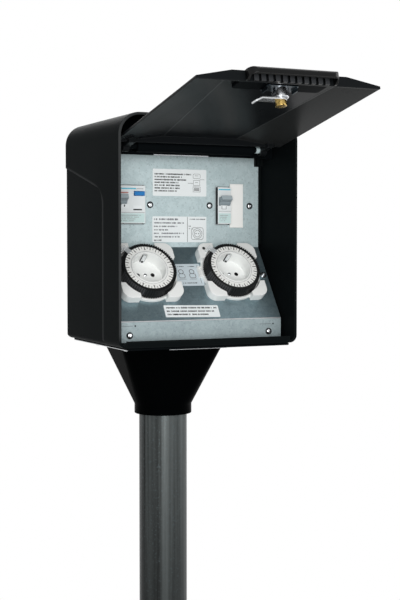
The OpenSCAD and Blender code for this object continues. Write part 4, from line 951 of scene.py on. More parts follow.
class Repeater:
    """Geometry node trees for what repeats, each with named inputs."""

    def __init__(self) -> None:
        """Builds every tree once."""
        self.ring = self._ring()
        self.print = self._print()
        self.heads = self._heads()

    @staticmethod
    def _open(name: str, sizes: dict[str, Any]) -> tuple[NodeSheet, Any, Any]:
        """Opens a tree whose inputs are its host, its sizes and its finish."""
        inputs = {"Geometry": Socket.GEOMETRY, **sizes, "Finish": Socket.MATERIAL}
        return open_tree(name, "GeometryNodeTree", inputs, {"Geometry": Socket.GEOMETRY})

    @staticmethod
    def _close(sheet: NodeSheet, given: Any, out: Any, inputs: dict[str, Any]) -> NodeTree:
        """Ends a tree: a form is set on every point, made real and given its material.

        Args:
            sheet: The tree's sheet.
            given: Sockets that the tree is given.
            out: Sockets that the tree ends in.
            inputs: The points, the form, and its turn or size.

        Returns:
            The finished tree.
        """
        forms = sheet.add("GeometryNodeInstanceOnPoints", inputs).outputs[0]
        real = sheet.add("GeometryNodeRealizeInstances", {0: forms}).outputs[0]
        dressed = sheet.add("GeometryNodeSetMaterial", {"Geometry": real, "Material": given["Finish"]})
        sheet.join(dressed.outputs[0], out["Geometry"])
        return sheet.tree

    def _ring(self) -> NodeTree:
        """Makes small bars round a circle, used for ticks and tappets.

        Returns:
            The tree.
        """
        sheet, given, out = self._open("bars round a circle", {
            "Count": 96, "Radius": 30.0, "Start": 0.0, "Sweep": TURN, "Width": 0.5, "Depth": 2.0,
            "Height": 0.1, "Lift": 0.0, "Unevenness": 0.0, "Lean": 0.0, "Seed": 3,
        })
        maths = sheet.maths
        index = sheet.add("GeometryNodeInputIndex").outputs[0]
        share = maths("DIVIDE", index, given["Count"])
        angle = maths("ADD", given["Start"], maths("MULTIPLY", share, given["Sweep"]))
        chance = sheet.chance(index, given["Seed"], -1.0)
        place = sheet.vector(
            maths("MULTIPLY", given["Radius"], maths("COSINE", angle)),
            maths("MULTIPLY", given["Radius"], maths("SINE", angle)),
            maths("ADD", given["Lift"], maths("MULTIPLY", chance, given["Unevenness"])),
        )
        points = sheet.add("GeometryNodePoints", {"Count": given["Count"], "Position": place})
        size = sheet.vector(given["Depth"], given["Width"], given["Height"])
        bar = sheet.add("GeometryNodeMeshCube", {"Size": size})
        turn = sheet.add("FunctionNodeEulerToRotation", {0: sheet.vector(y=given["Lean"], z=angle)})
        return self._close(sheet, given, out, {
            "Points": points.outputs[0], "Instance": bar.outputs["Mesh"], "Rotation": turn.outputs[0],
        })

    def _print(self) -> NodeTree:
        """Fills lines with small marks, which stand for wording without any letters.

        Returns:
            The tree.
        """
        sheet, given, out = self._open("printed lines", {
            "Marks": 40, "Pitch": 1.2, "Gaps": 0.12, "Seed": 5, "Height seed": 9,
        })
        maths = sheet.maths
        index = sheet.add("GeometryNodeInputIndex").outputs[0]
        copies = {"Geometry": given["Geometry"], "Amount": given["Marks"]}
        rows = sheet.add("GeometryNodeDuplicateElements", copies, domain="POINT").outputs
        along = maths("MULTIPLY", maths("ADD", rows["Duplicate Index"], 0.5), given["Pitch"])
        moved = {"Geometry": rows["Geometry"], "Offset": sheet.vector(along)}
        spread = sheet.add("GeometryNodeSetPosition", moved).outputs[0]
        past = maths("GREATER_THAN", along, sheet.attribute("reach"))
        gap = maths("LESS_THAN", sheet.chance(index, given["Seed"]), given["Gaps"])
        empty = maths("MAXIMUM", past, gap)
        kept = sheet.add("GeometryNodeDeleteGeometry", {0: spread, 1: empty}, domain="POINT")
        wide = maths("MULTIPLY", sheet.chance(index, given["Seed"], 0.55, 0.95), given["Pitch"])
        share = sheet.chance(index, given["Height seed"], 0.72)
        tall = maths("MULTIPLY", share, sheet.attribute("tall"))
        size = sheet.vector(wide, tall, 1.0)
        mark = sheet.add("GeometryNodeMeshCube", {"Size": (1.0, 1.0, 0.06)})
        return self._close(sheet, given, out, {
            "Points": kept.outputs[0], "Instance": mark.outputs["Mesh"], "Scale": size,
        })

    def _heads(self) -> NodeTree:
        """Sets one fastener head on every point, facing the point's own way.

        Returns:
            The tree.
        """
        sheet, given, out = self._open("heads on points", {"Head": Socket.OBJECT})
        head = sheet.add("GeometryNodeObjectInfo", {"Object": given["Head"]})
        facing = sheet.attribute("facing", "FLOAT_VECTOR")
        upright = sheet.add("FunctionNodeAlignRotationToVector", {"Vector": facing}, axis="Z")
        spin = sheet.add("FunctionNodeEulerToRotation", {0: sheet.vector(z=sheet.attribute("turn"))})
        turns = {0: upright.outputs[0], 1: spin.outputs[0]}
        both = sheet.add("FunctionNodeRotateRotation", turns, rotation_space="LOCAL")
        return self._close(sheet, given, out, {
            "Points": given["Geometry"], "Instance": head.outputs["Geometry"], "Rotation": both.outputs[0],
            "Scale": sheet.attribute("size"),
        })

    @staticmethod
    def run(
        tree: NodeTree, settings: dict[str, Any], host: Mesh | None = None
    ) -> Mesh:
        """Evaluates a tree once.

        Args:
            tree: The tree to run.
            settings: Values by input name.
            host: Mesh that the tree starts from, where it needs one.

        Returns:
            The result as a plain mesh.
        """
        carrier = link(bpy.data.objects.new("carrier", host or bpy.data.meshes.new("carrier")))
        modifier = carrier.modifiers.new("repeat", "NODES")
        modifier.node_group = tree
        for item in tree.interface.items_tree:
            if item.item_type == "SOCKET" and item.in_out == "INPUT" and item.name in settings:
                modifier[item.identifier] = settings[item.name]
        return evaluated(carrier)


def point_mesh(points: Sequence[Point3], values: dict[str, Sequence[float]]) -> Mesh:
    """Makes a mesh of loose points that carry named numbers.

    Args:
        points: Places of the points.
        values: One number per point, by attribute name.

    Returns:
        The mesh.
    """
    mesh = bpy.data.meshes.new("points")
    mesh.from_pydata(list(points), [], [])
    for name, numbers in values.items():
        mesh.attributes.new(name, "FLOAT", "POINT")
        mesh.attributes[name].data.foreach_set("value", numbers)
    return mesh


def smooth(mesh: Mesh, sharp: float) -> None:
    """Makes faces smooth and leaves edges sharp from an angle in degrees."""
    mesh.polygons.foreach_set("use_smooth", [True] * len(mesh.polygons))
    mesh.set_sharp_from_angle(angle=math.radians(sharp))


class Workshop:
    """Holds the loaded frame, makes materials once and hands finished pieces to the frame."""

    def __init__(self, frame: dict[str, Any]) -> None:
        """Takes the loaded frame and builds the shared groups and trees.
        """
        self.nodes: dict[str, Object] = frame["nodes"]
        self.shelf = GroupShelf()
        self.repeater = Repeater()
        self.made: dict[Finish, Material] = {}

    def material(self, finish: Finish) -> Material:
        """Gives the material of a finish, made on first use.

        Args:
            finish: The finish.

        Returns:
            The material.
        """
        if finish not in self.made:
            self.made[finish] = finish.value.material(f"{finish.name.lower()}_finish", self.shelf)
        return self.made[finish]

    def copy(
        self, node: str, finish: Finish, bevel: float = 0.4, segments: int = 2, angle: float = 32.0
    ) -> Object:
        """Replaces a CAD node by a copy whose edges are rounded and whose curves are smooth.

        Args:
            node: Name of the node.
            finish: Finish of the copy.
            bevel: Width of the rounded edges in millimetres.
            segments: Steps in a rounded edge.
            angle: Least angle of an edge that is rounded, in degrees.

        Returns:
            The new piece, which stays inside the node's own box.
        """
        bm = bmesh.new()
        bm.from_mesh(self.nodes[node].data)
        bmesh.ops.remove_doubles(bm, verts=bm.verts, dist=MERGE)
        low = [min(vert.co[axis] for vert in bm.verts) for axis in range(3)]
        high = [max(vert.co[axis] for vert in bm.verts) for axis in range(3)]
        if bevel:
            round_edges(bm, bevel * MM, segments, angle)
        for vert in bm.verts:
            vert.co = [min(max(vert.co[axis], low[axis]), high[axis]) for axis in range(3)]
        name = f"{node}_dressed"
        mesh = bpy.data.meshes.new(name)
        bm.to_mesh(mesh)
        bm.free()
        body = self.nodes[node]["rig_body"]
        return self.piece(name, self.flattened(mesh), body, [finish], replaces=[node], sharp=None)

    @staticmethod
    def flattened(mesh: Mesh) -> Mesh:
        """Leans the normals towards the large faces, so that flat faces look flat beside rounded edges.

        Args:
            mesh: The mesh to shade; it is used up.

        Returns:
            The shaded mesh.
        """
        smooth(mesh, SHARP)
        carrier = link(bpy.data.objects.new("carrier", mesh))
        lean = carrier.modifiers.new("lean", "WEIGHTED_NORMAL")
        lean.mode, lean.weight, lean.keep_sharp = "FACE_AREA", 100, True
        shaded = evaluated(carrier)
        bpy.data.meshes.remove(mesh)
        return shaded

    def piece(
        self, name: str, mesh: Mesh, body: str, finishes: Sequence[Finish],
        replaces: Iterable[str] = (), place: Place | None = None, sharp: float | None = SHARP,
    ) -> Object:
        """Makes a mesh a piece of the part.

        Args:
            name: Name of the piece.
            mesh: Its mesh.
            body: The body it moves with.
            finishes: Its finishes, by material number.
            replaces: CAD nodes that it stands for.
            place: Local frame that the mesh is drawn in, where it isn't in the part's own frame.
            sharp: Least angle of an edge that stays sharp in degrees, or nothing where it is shaded already.

        Returns:
            The piece.
        """
        if place:
            mesh.transform(place.matrix())
        numbers = [0] * len(mesh.polygons)
        if len(finishes) > 1:
            mesh.polygons.foreach_get("material_index", numbers)
        mesh.materials.clear()
        for finish in finishes:
            mesh.materials.append(self.material(finish))
        mesh.polygons.foreach_set("material_index", numbers)
        if sharp is not None:
            smooth(mesh, sharp)
        mesh.name = name
        piece = link(bpy.data.objects.new(name, mesh))
        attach(piece, body)
        nodes = list(replaces)
        if nodes:
            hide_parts(*nodes)
        LOG.info("piece %s on %s, %d faces", name, body, len(mesh.polygons))
        return piece

    def marks(
        self, name: str, lines: Sequence[Line], lift: float, pitch: float, seed: int, ink: Finish,
        place: Place,
    ) -> None:
        """Prints lines of small marks as one piece.

        Args:
            name: Name of the piece.
            lines: Left end, height, length and letter height of each line.
            lift: Height of the print above its face.
            pitch: Room of one mark along a line.
            seed: Seed of the marks' sizes.
            ink: Finish of the print.
            place: Frame of the face.
        """
        x, y, reach, tall = zip(*lines)
        host = point_mesh([(*point, lift) for point in zip(x, y)], {"reach": reach, "tall": tall})
        most = math.ceil(max(reach) / pitch)
        settings = {"Marks": most, "Pitch": pitch, "Seed": seed, "Finish": self.material(ink)}
        mesh = self.repeater.run(self.repeater.print, settings, host)
        self.piece(name, mesh, ROOT, [ink], place=place)


@dataclass
class Assembly:
    """What every sub-assembly has: the workshop, and short ways to its pieces."""

    shop: Workshop

    def build(self) -> None:
        """Makes every piece of the sub-assembly."""
        raise NotImplementedError

    def dress(self, *rows: tuple) -> None:
        """Replaces CAD nodes by rounded copies, each row being what Workshop.copy takes."""
        for row in rows:
            self.shop.copy(*row)

    def repaint(
        self, piece: Object, finish: Finish, test: Callable[[MeshPolygon], bool]
    ) -> None:
        """Gives some faces of a piece another finish.

        Args:
            piece: The piece.
            finish: The other finish.
            test: Tells whether a face gets it.
        """
        piece.data.materials.append(self.shop.material(finish))
        number = len(piece.data.materials) - 1
        for face in piece.data.polygons:
            if test(face):
                face.material_index = number

    def add(
        self, name: str, shape: Shape, finish: Finish, place: Place, body: str = ROOT,
        replaces: Iterable[str] = (),
    ) -> None:
        """Makes a drawn shape a piece of one finish.

        Args:
            name: Name of the piece.
            shape: The shape; it is used up.
            finish: Its finish.
            place: Frame that it is drawn in.
            body: The body it moves with.
            replaces: CAD nodes that it stands for.
        """
        self.shop.piece(name, shape.mesh(name), body, [finish], replaces, place)


@dataclass
class PostAndNeck(Assembly):
    """The tube, the neck that carries the hood, and the plates and bolts under the hood."""

    plate_bevel: float = 0.9
    bare_low: float = -0.95
    bare_high: float = -0.3
    tongue_x: float = 37.0
    tongue_y: float = 108.0
    tongue_z: float = -5.0
    lip_drop: float = 1.5
    lip_t: float = 1.3

    def build(self) -> None:
        """Dresses the tube, the neck and the plates."""
        self.dress(
            ("post_tube", Finish.TUBE, 0.3), ("neck_sleeve", Finish.NECK, 0.9, 3, 40.0),
            ("neck_screws", Finish.ZINC, 0.12), ("head_plate", Finish.PLATE, 0.25),
            ("head_bolts", Finish.ZINC, 0.3),
        )
        plate = self.shop.copy("floor_plate", Finish.INNER_BLACK, self.plate_bevel, 1)
        # bare cut metal on the left lower edge, which is also a painted highlight line
        self.repaint(plate, Finish.PLATE, self.is_bare)
        self.tongue_lip()

    def is_bare(self, face: MeshPolygon) -> bool:
        """Tells whether a face is the lower rounding at the floor plate's left side, bare cut metal that also
        paints the highlight line along that edge.
        """
        return self.bare_low < face.normal.z < self.bare_high and face.normal.x < self.bare_high

    def tongue_lip(self) -> None:
        """Turns the front edge of the head plate's tongue down to a bright lip."""
        x, sunk, up = self.tongue_x, 0.1, 0.3
        lip = Shape().block((-x, -sunk, -self.lip_drop), (x, self.lip_t, up), 0.2)
        self.add("tongue_lip", lip, Finish.PLATE, LAYOUT.level(self.tongue_y, self.tongue_z))


@dataclass
class Hood(Assembly):
    """The hood shell, its rear cover and the beam that holds the lid's rod."""

    rim: float = 0.8
    rod_r: float = 3.5
    rod_wall: float = 0.5
    rod_chamfer: float = 0.2
    rod_from: float = 80.0
    rod_len: float = 9.0
    beam_y: float = 86.0
    beam_z: float = 222.0
    strip_x: Point2 = (-48.0, 23.0)
    strip_y: Point2 = (-0.15, 0.3)
    strip_z: Point2 = (0.1, 1.0)

    def build(self) -> None:
        """Dresses the hood."""
        self.dress(
            ("hood_shell", Finish.HOOD, self.rim, 3), ("rear_cover", Finish.HOOD, self.rim, 3),
            ("hinge_header", Finish.INNER_BLACK, 0.5), ("hinge_rod", Finish.INNER_BLACK, 0.4),
        )
        self.rod_end()
        # a thin bare metal strip along the beam's lower front edge, which paints the glint of light along
        # that edge
        strip = Shape().block(*zip(self.strip_x, self.strip_y, self.strip_z), 0.1)
        self.add("beam_edge", strip, Finish.NICKEL, LAYOUT.level(self.beam_y, self.beam_z))
        self.dress(
            ("back_plate", Finish.PLATE, 0.25), ("clamp_strap", Finish.PLATE, 0.25),
            ("clamp_bolts", Finish.ZINC, 0.25), ("header_screws", Finish.ZINC, 0.25),
        )

    def rod_end(self) -> None:
        """Makes the bare right end of the lid's rod."""
        wide, cut, end = self.rod_r + self.rod_wall, self.rod_chamfer, self.rod_len
        profile = [(self.rod_r, 0.0), (wide, cut), (wide, end - cut), (self.rod_r, end)]
        place = LAYOUT.across(self.rod_from, LAYOUT.hinge_y, LAYOUT.hinge_z)
        self.add("rod_end", Shape().revolve(profile, 40), Finish.PANEL, place)


@dataclass
class Fasteners(Assembly):
    """Pan heads with a cross recess on every panel, cover, floor and timer screw."""

    head_r: float = 4.0
    head_sharp: float = 40.0
    timer_head_r: float = 3.2
    washer_share: float = 0.72
    washer_t: float = 0.3
    bracket_x: Point2 = (39.5, 94.5)
    bracket_z: float = 164.8
    flange_x: float = 90.0
    flange_z: float = 12.4
    cover_x: float = 98.05
    cover_y: float = 42.0
    cover_z: Point2 = (22.0, 237.5)
    under_x: float = 95.0
    under_y: Point2 = (-118.0, -25.0)
    under_z: float = -3.0
    timer_at: float = 30.6
    post_h: float = 11.5
    panel_t: float = 1.5
    dot_r: float = 1.7
    first_turn: float = 0.4
    next_turn: float = 1.3

    def build(self) -> None:
        """Sets heads and washers on every screw place."""
        panel = self.panel_places()
        bright = [(place.moved(z=self.washer_t), self.head_r * self.washer_share) for place in panel]
        bright += [(place, self.head_r) for place in self.shell_places()]
        bright += [(place, self.timer_head_r) for place in self.timer_backs()]
        self.spread(
            "pan_screws", self.head(), bright, Finish.ZINC,
            ["panel_screws", "floor_screws", "rear_cover_screws", "timer_screws_left", "timer_screws_right"],
        )
        self.spread("panel_washers", self.washer(), [(place, self.head_r) for place in panel], Finish.INK)
        at = self.timer_at
        dark = [(LAYOUT.timer(side).moved(-at, at, self.post_h), self.dot_r) for side in Side]
        self.spread("post_screws", self.head(), dark, Finish.INK)

    @staticmethod
    def head() -> Object:
        """Makes one head of radius 1 on the plane z = 0, with its cross recess cut.

        Returns:
            The head.
        """
        dome = Shape().revolve([
            (0.0, -0.02), (1.0, -0.02), (1.0, 0.12), (0.95, 0.27), (0.8, 0.42), (0.5, 0.52), (0.0, 0.55),
        ], 32)
        cross = Shape()
        for w, d in ((0.525, 0.1), (0.1, 0.525)):
            cross.block((-w, -d, 0.22), (w, d, 0.9))
        body = link(bpy.data.objects.new("head", dome.mesh("head")))
        tool = link(bpy.data.objects.new("recess", cross.mesh("recess")))
        cut = body.modifiers.new("recess", "BOOLEAN")
        cut.operation, cut.object, cut.solver = "DIFFERENCE", tool, "EXACT"
        cut.use_self = True
        mesh = evaluated(body)
        bpy.data.objects.remove(tool)
        return link(bpy.data.objects.new("head", mesh))

    @staticmethod
    def washer() -> Object:
        """Returns one washer of radius 1 on the plane z = 0."""
        profile = [(0.5, -0.02), (1.02, -0.02), (1.02, 0.1), (0.94, 0.2), (0.72, 0.2), (0.5, 0.1)]
        return link(bpy.data.objects.new("washer", Shape().revolve(profile, 32).mesh("washer")))

    def panel_places(self) -> list[Place]:
        """Finds the screws on the panel and its flange.

        Returns:
            Their frames.
        """
        found = []
        for sign in (-1, 1):
            for x in self.bracket_x:
                found.append(LAYOUT.panel().moved(x=sign * x, y=self.bracket_z))
            found.append(LAYOUT.flange().moved(x=sign * self.flange_x, y=self.flange_z))
        return found

    def shell_places(self) -> list[Place]:
        """Finds the screws in the rear cover and under the floor.

        Returns:
            Their frames.
        """
        found = []
        for sign in (-1, 1):
            for z in self.cover_z:
                origin = (sign * self.cover_x, self.cover_y, LAYOUT.floor_z + z)
                found.append(Place(origin, (-1, 0, 0), (0, 0, 1), (0, 1, 0)))
            for y in self.under_y:
                origin = (sign * self.under_x, y, LAYOUT.floor_z + self.under_z)
                found.append(Place(origin, (1, 0, 0), (0, -1, 0), (0, 0, -1)))
        return found

    def timer_backs(self) -> list[Place]:
        """Finds the timers' screws behind the panel.

        Returns:
            Their frames.
        """
        found = []
        for side in Side:
            for sx, sy in ((-1, -1), (1, -1), (1, 1)):
                back = LAYOUT.timer(side).moved(sx * self.timer_at, sy * self.timer_at, -self.panel_t)
                found.append(Place(back.origin, back.x, tuple(-c for c in back.y), tuple(-c for c in back.z)))
        return found

    def spread(
        self, name: str, item: Object, places: Sequence[tuple[Place, float]], finish: Finish,
        replaces: Sequence[str] = (),
    ) -> None:
        """Sets one small form on every place as one piece.

        Args:
            name: Name of the piece.
            item: The form, of radius 1; it is used up.
            places: Frame and radius of each copy.
            finish: Finish of the piece.
            replaces: CAD nodes that the piece stands for.
        """
        host = point_mesh([tuple(Vector(place.origin) * MM) for place, _ in places], {
            "size": [radius * MM for _, radius in places],
            "turn": [self.first_turn + self.next_turn * i for i in range(len(places))],
        })
        host.attributes.new("facing", "FLOAT_VECTOR", "POINT")
        host.attributes["facing"].data.foreach_set("vector", [c for place, _ in places for c in place.z])
        shop = self.shop
        mesh = shop.repeater.run(shop.repeater.heads, {"Head": item, "Finish": shop.material(finish)}, host)
        bpy.data.objects.remove(item)
        shop.piece(name, mesh, ROOT, [finish], replaces, sharp=self.head_sharp)


@dataclass(frozen=True)
class PrintedLabel:
    """A thin label with lines of generic print."""

    name: str
    place: Place
    width: float
    height: float
    lines: Sequence[Line]
    pitch: float
    seed: int
    base: Finish = Finish.LABEL
    ink: Finish = Finish.INK
    corner: float = 1.2
    sunk: float = 0.05
    thickness: float = 0.15
    print_gap: float = 0.02

    def build(self, shop: Workshop) -> None:
        """Makes the label and its print.

        Args:
            shop: Maker of pieces.
        """
        plate = Shape().prism(rounded_box(self.width, self.height, self.corner), -self.sunk, self.thickness)
        shop.piece(self.name, plate.mesh(self.name), ROOT, [self.base], place=self.place)
        lift = self.thickness + self.print_gap
        shop.marks(f"{self.name}_print", self.lines, lift, self.pitch, self.seed, self.ink, self.place)


@dataclass
class SwitchPanel(Assembly):
    """The bent galvanised panel with its labels, marks and earth stud."""

    tilted: float = 0.4
    upright: float = 0.9
    flange_from: float = 100.0
    upper_label: Point2 = (-0.4, 192.0)
    middle_label: Point2 = (-0.7, 135.4)
    slope_label: Point2 = (-8.1, 92.2)
    slope_label_turn: float = -1.25
    centre_label: Point2 = (0.5, 40.7)
    sign_low: float = 0.12
    sign_high: float = 0.2
    dots: tuple[Point2, Point2] = ((-83.1, 23.3), (96.1, 21.4))
    dot_r: float = 1.0
    scribe_x: Point2 = (-18.0, -2.6)
    scribe_half: float = 0.28
    toe_z: float = 28.2
    bead_r: float = 0.9
    bead_in: float = 0.65
    panel_half: float = 106.6

    def build(self) -> None:
        """Dresses the panel and what is on it."""
        panel = self.shop.copy("mounting_panel", Finish.PANEL, 0.35, 2)
        # painted shade on the slope, with the lid's dark reflection, and on the flange
        self.repaint(panel, Finish.SLOPE, self.is_slope)
        self.repaint(panel, Finish.FLANGE, self.is_flange)
        self.dress(
            ("earth_stud", Finish.ZINC, 0.25), ("rail_brackets", Finish.PLATE, 0.2),
            ("din_rails", Finish.PLATE, 0.2),
        )
        for label in self.labels():
            label.build(self.shop)
        self.device_sign()
        self.socket_sign()
        self.centre_signs()
        self.marks()
        self.bend_bead()

    def is_slope(self, face: MeshPolygon) -> bool:
        """Tells whether a face is on the panel's slope, painted darker as shade and the dark reflection of
        the lid above.
        """
        return face.normal.z > self.tilted and face.normal.y < -self.tilted

    def is_flange(self, face: MeshPolygon) -> bool:
        """Tells whether a face is on the panel's lower flange, painted darker as shade."""
        outward = face.normal.y < -self.upright and face.normal.z <= self.tilted
        return outward and face.center.y < -self.flange_from * MM

    def labels(self) -> list[PrintedLabel]:
        """Lists the panel's labels.

        Returns:
            The four labels.
        """
        face = LAYOUT.panel()
        slanted = LAYOUT.slope(*self.slope_label).turned(self.slope_label_turn)
        reaches = (48.5, 37.3, 41.8, 32.1, 32.9, 33.2, 29.9)
        upper = [(-33.4, 10.1 - 3.38 * i, reach, 1.95) for i, reach in enumerate(reaches)]
        reaches = (39.6, 30.7, 18.3, 40.0, 34.5, 10.2)
        middle = [(-34.0, 12.1, 32.0, 2.4)]
        middle += [(-34.0, 7.7 - 4.2 * i, reach, 1.8) for i, reach in enumerate(reaches)]
        middle += [(13.4, 12.4, 20.4, 1.3), (11.6, 3.9, 3.4, 1.3), (11.9, 0.9, 1.8, 1.0)]
        slope = [(-32.4, y, reach, 2.2) for y, reach in ((4.7, 65.0), (0.0, 61.5), (-4.5, 53.0))]
        centre = [(-14.6, -11.8, 23.0, 1.3), (-12.0, 12.0, 9.0, 1.0), (2.0, 12.0, 9.0, 1.0)]
        return [
            PrintedLabel("upper_label", face.moved(*self.upper_label), 71.2, 32.6, upper, 0.95, 4),
            PrintedLabel("middle_label", face.moved(*self.middle_label), 71.8, 31.2, middle, 1.1, 9,
                         ink=Finish.GREY_INK),
            PrintedLabel("slope_label", slanted, 70.0, 16.4, slope, 1.05, 2),
            PrintedLabel("centre_label", LAYOUT.slope(*self.centre_label), 36.0, 31.4, centre, 1.1, 7,
                         base=Finish.LABEL_BLUE),
        ]

    def device_sign(self) -> None:
        """Draws a plain outline of a small breaker on the upper label."""
        low, high, x, line = self.sign_low, self.sign_high, 22.4, 0.35
        sign = Shape()
        for y, w, h, r in ((8.2, 10.0, 5.8, 1.6), (0.1, 8.8, 6.6, 0.3), (-7.7, 10.0, 6.6, 0.3)):
            inner = rounded_box(w - 2 * line, h - 2 * line, max(r - line, 0.05), x, y)
            sign.band(rounded_box(w, h, r, x, y), inner, low, high)
        for left, right, y in ((10.6, 17.6, -0.4), (26.8, 32.8, 4.2), (20.4, 24.4, 0.6), (20.0, 24.8, 8.8)):
            sign.block((left, y - 0.2, low), (right, y + 0.2, high))
        for y in (-6.2, -7.6, -9.0):
            sign.block((x - 3.6, y - 0.35, low), (x + 3.6, y + 0.35, high))
        self.add("device_sign", sign, Finish.INK, LAYOUT.panel().moved(*self.upper_label))

    def socket_sign(self) -> None:
        """Draws a plain socket outline and the dividing rule on the middle label."""
        low, high, x, y = self.sign_low, self.sign_high, 23.7, -5.1
        sign = Shape().block((10.1, -15.2, low), (10.6, 15.2, high))
        sign.band(rounded_box(16.2, 15.1, 3.0, x, y), rounded_box(15.4, 14.3, 2.6, x, y), low, high)
        for r in (6.3, 4.3):
            sign.band(circle(r, x, y), circle(r - 0.45, x, y), low, high)
        for side in (-1.8, 1.8):
            sign.prism(circle(0.7, x + side, y, 16), low, high)
        sign.prism(circle(0.6, x - 6.2, y + 5.6, 12), low, high)
        self.add("socket_sign", sign, Finish.INK, LAYOUT.panel().moved(*self.middle_label))

    def centre_signs(self) -> None:
        """Draws two plain plug outlines and a rule on the label between the timers."""
        low, high = self.sign_low, self.sign_high
        sign = Shape()
        for x in (-8.8, 5.3):
            sign.band(rounded_box(8.6, 6.6, 2.4, x, -1.4), rounded_box(7.2, 5.2, 1.8, x, -1.4), low, high)
            sign.band(circle(3.4, x, 4.6), circle(2.6, x, 4.6), low, high)
            sign.block((x - 4.6, -6.4, low), (x + 4.6, -5.9, high))
        sign.block((14.2, -12.5, low), (14.7, 13.5, high))
        self.add("plug_signs", sign, Finish.GREY_INK, LAYOUT.slope(*self.centre_label))

    def marks(self) -> None:
        """Adds a small hole with a scribed line beside it at each end of the lower flange."""
        (left, right), half = self.scribe_x, self.scribe_half
        for number, place in enumerate(self.dots):
            mark = Shape().prism(circle(self.dot_r, steps=20), -0.1, 0.06)
            mark.block((left, -half, -0.05), (right, half, 0.04), mat=1)
            self.shop.piece(f"flange_mark_{number}", mark.mesh("mark"), ROOT, [Finish.INK, Finish.GREY_INK],
                            place=LAYOUT.flange().moved(*place))

    def bend_bead(self) -> None:
        """Rounds the lower bend of the panel, where the sheet turns into the flange, in a brighter zinc than
        the panel that paints the highlight along the bend.
        """
        bead = Shape().prism(circle(self.bead_r, steps=24), -self.panel_half, self.panel_half, 0.2)
        # the bead's brighter zinc is a painted highlight along the bend
        self.add("bend_bead", bead, Finish.PLATE, LAYOUT.across(0.0, LAYOUT.toe_y - self.bead_in, self.toe_z))


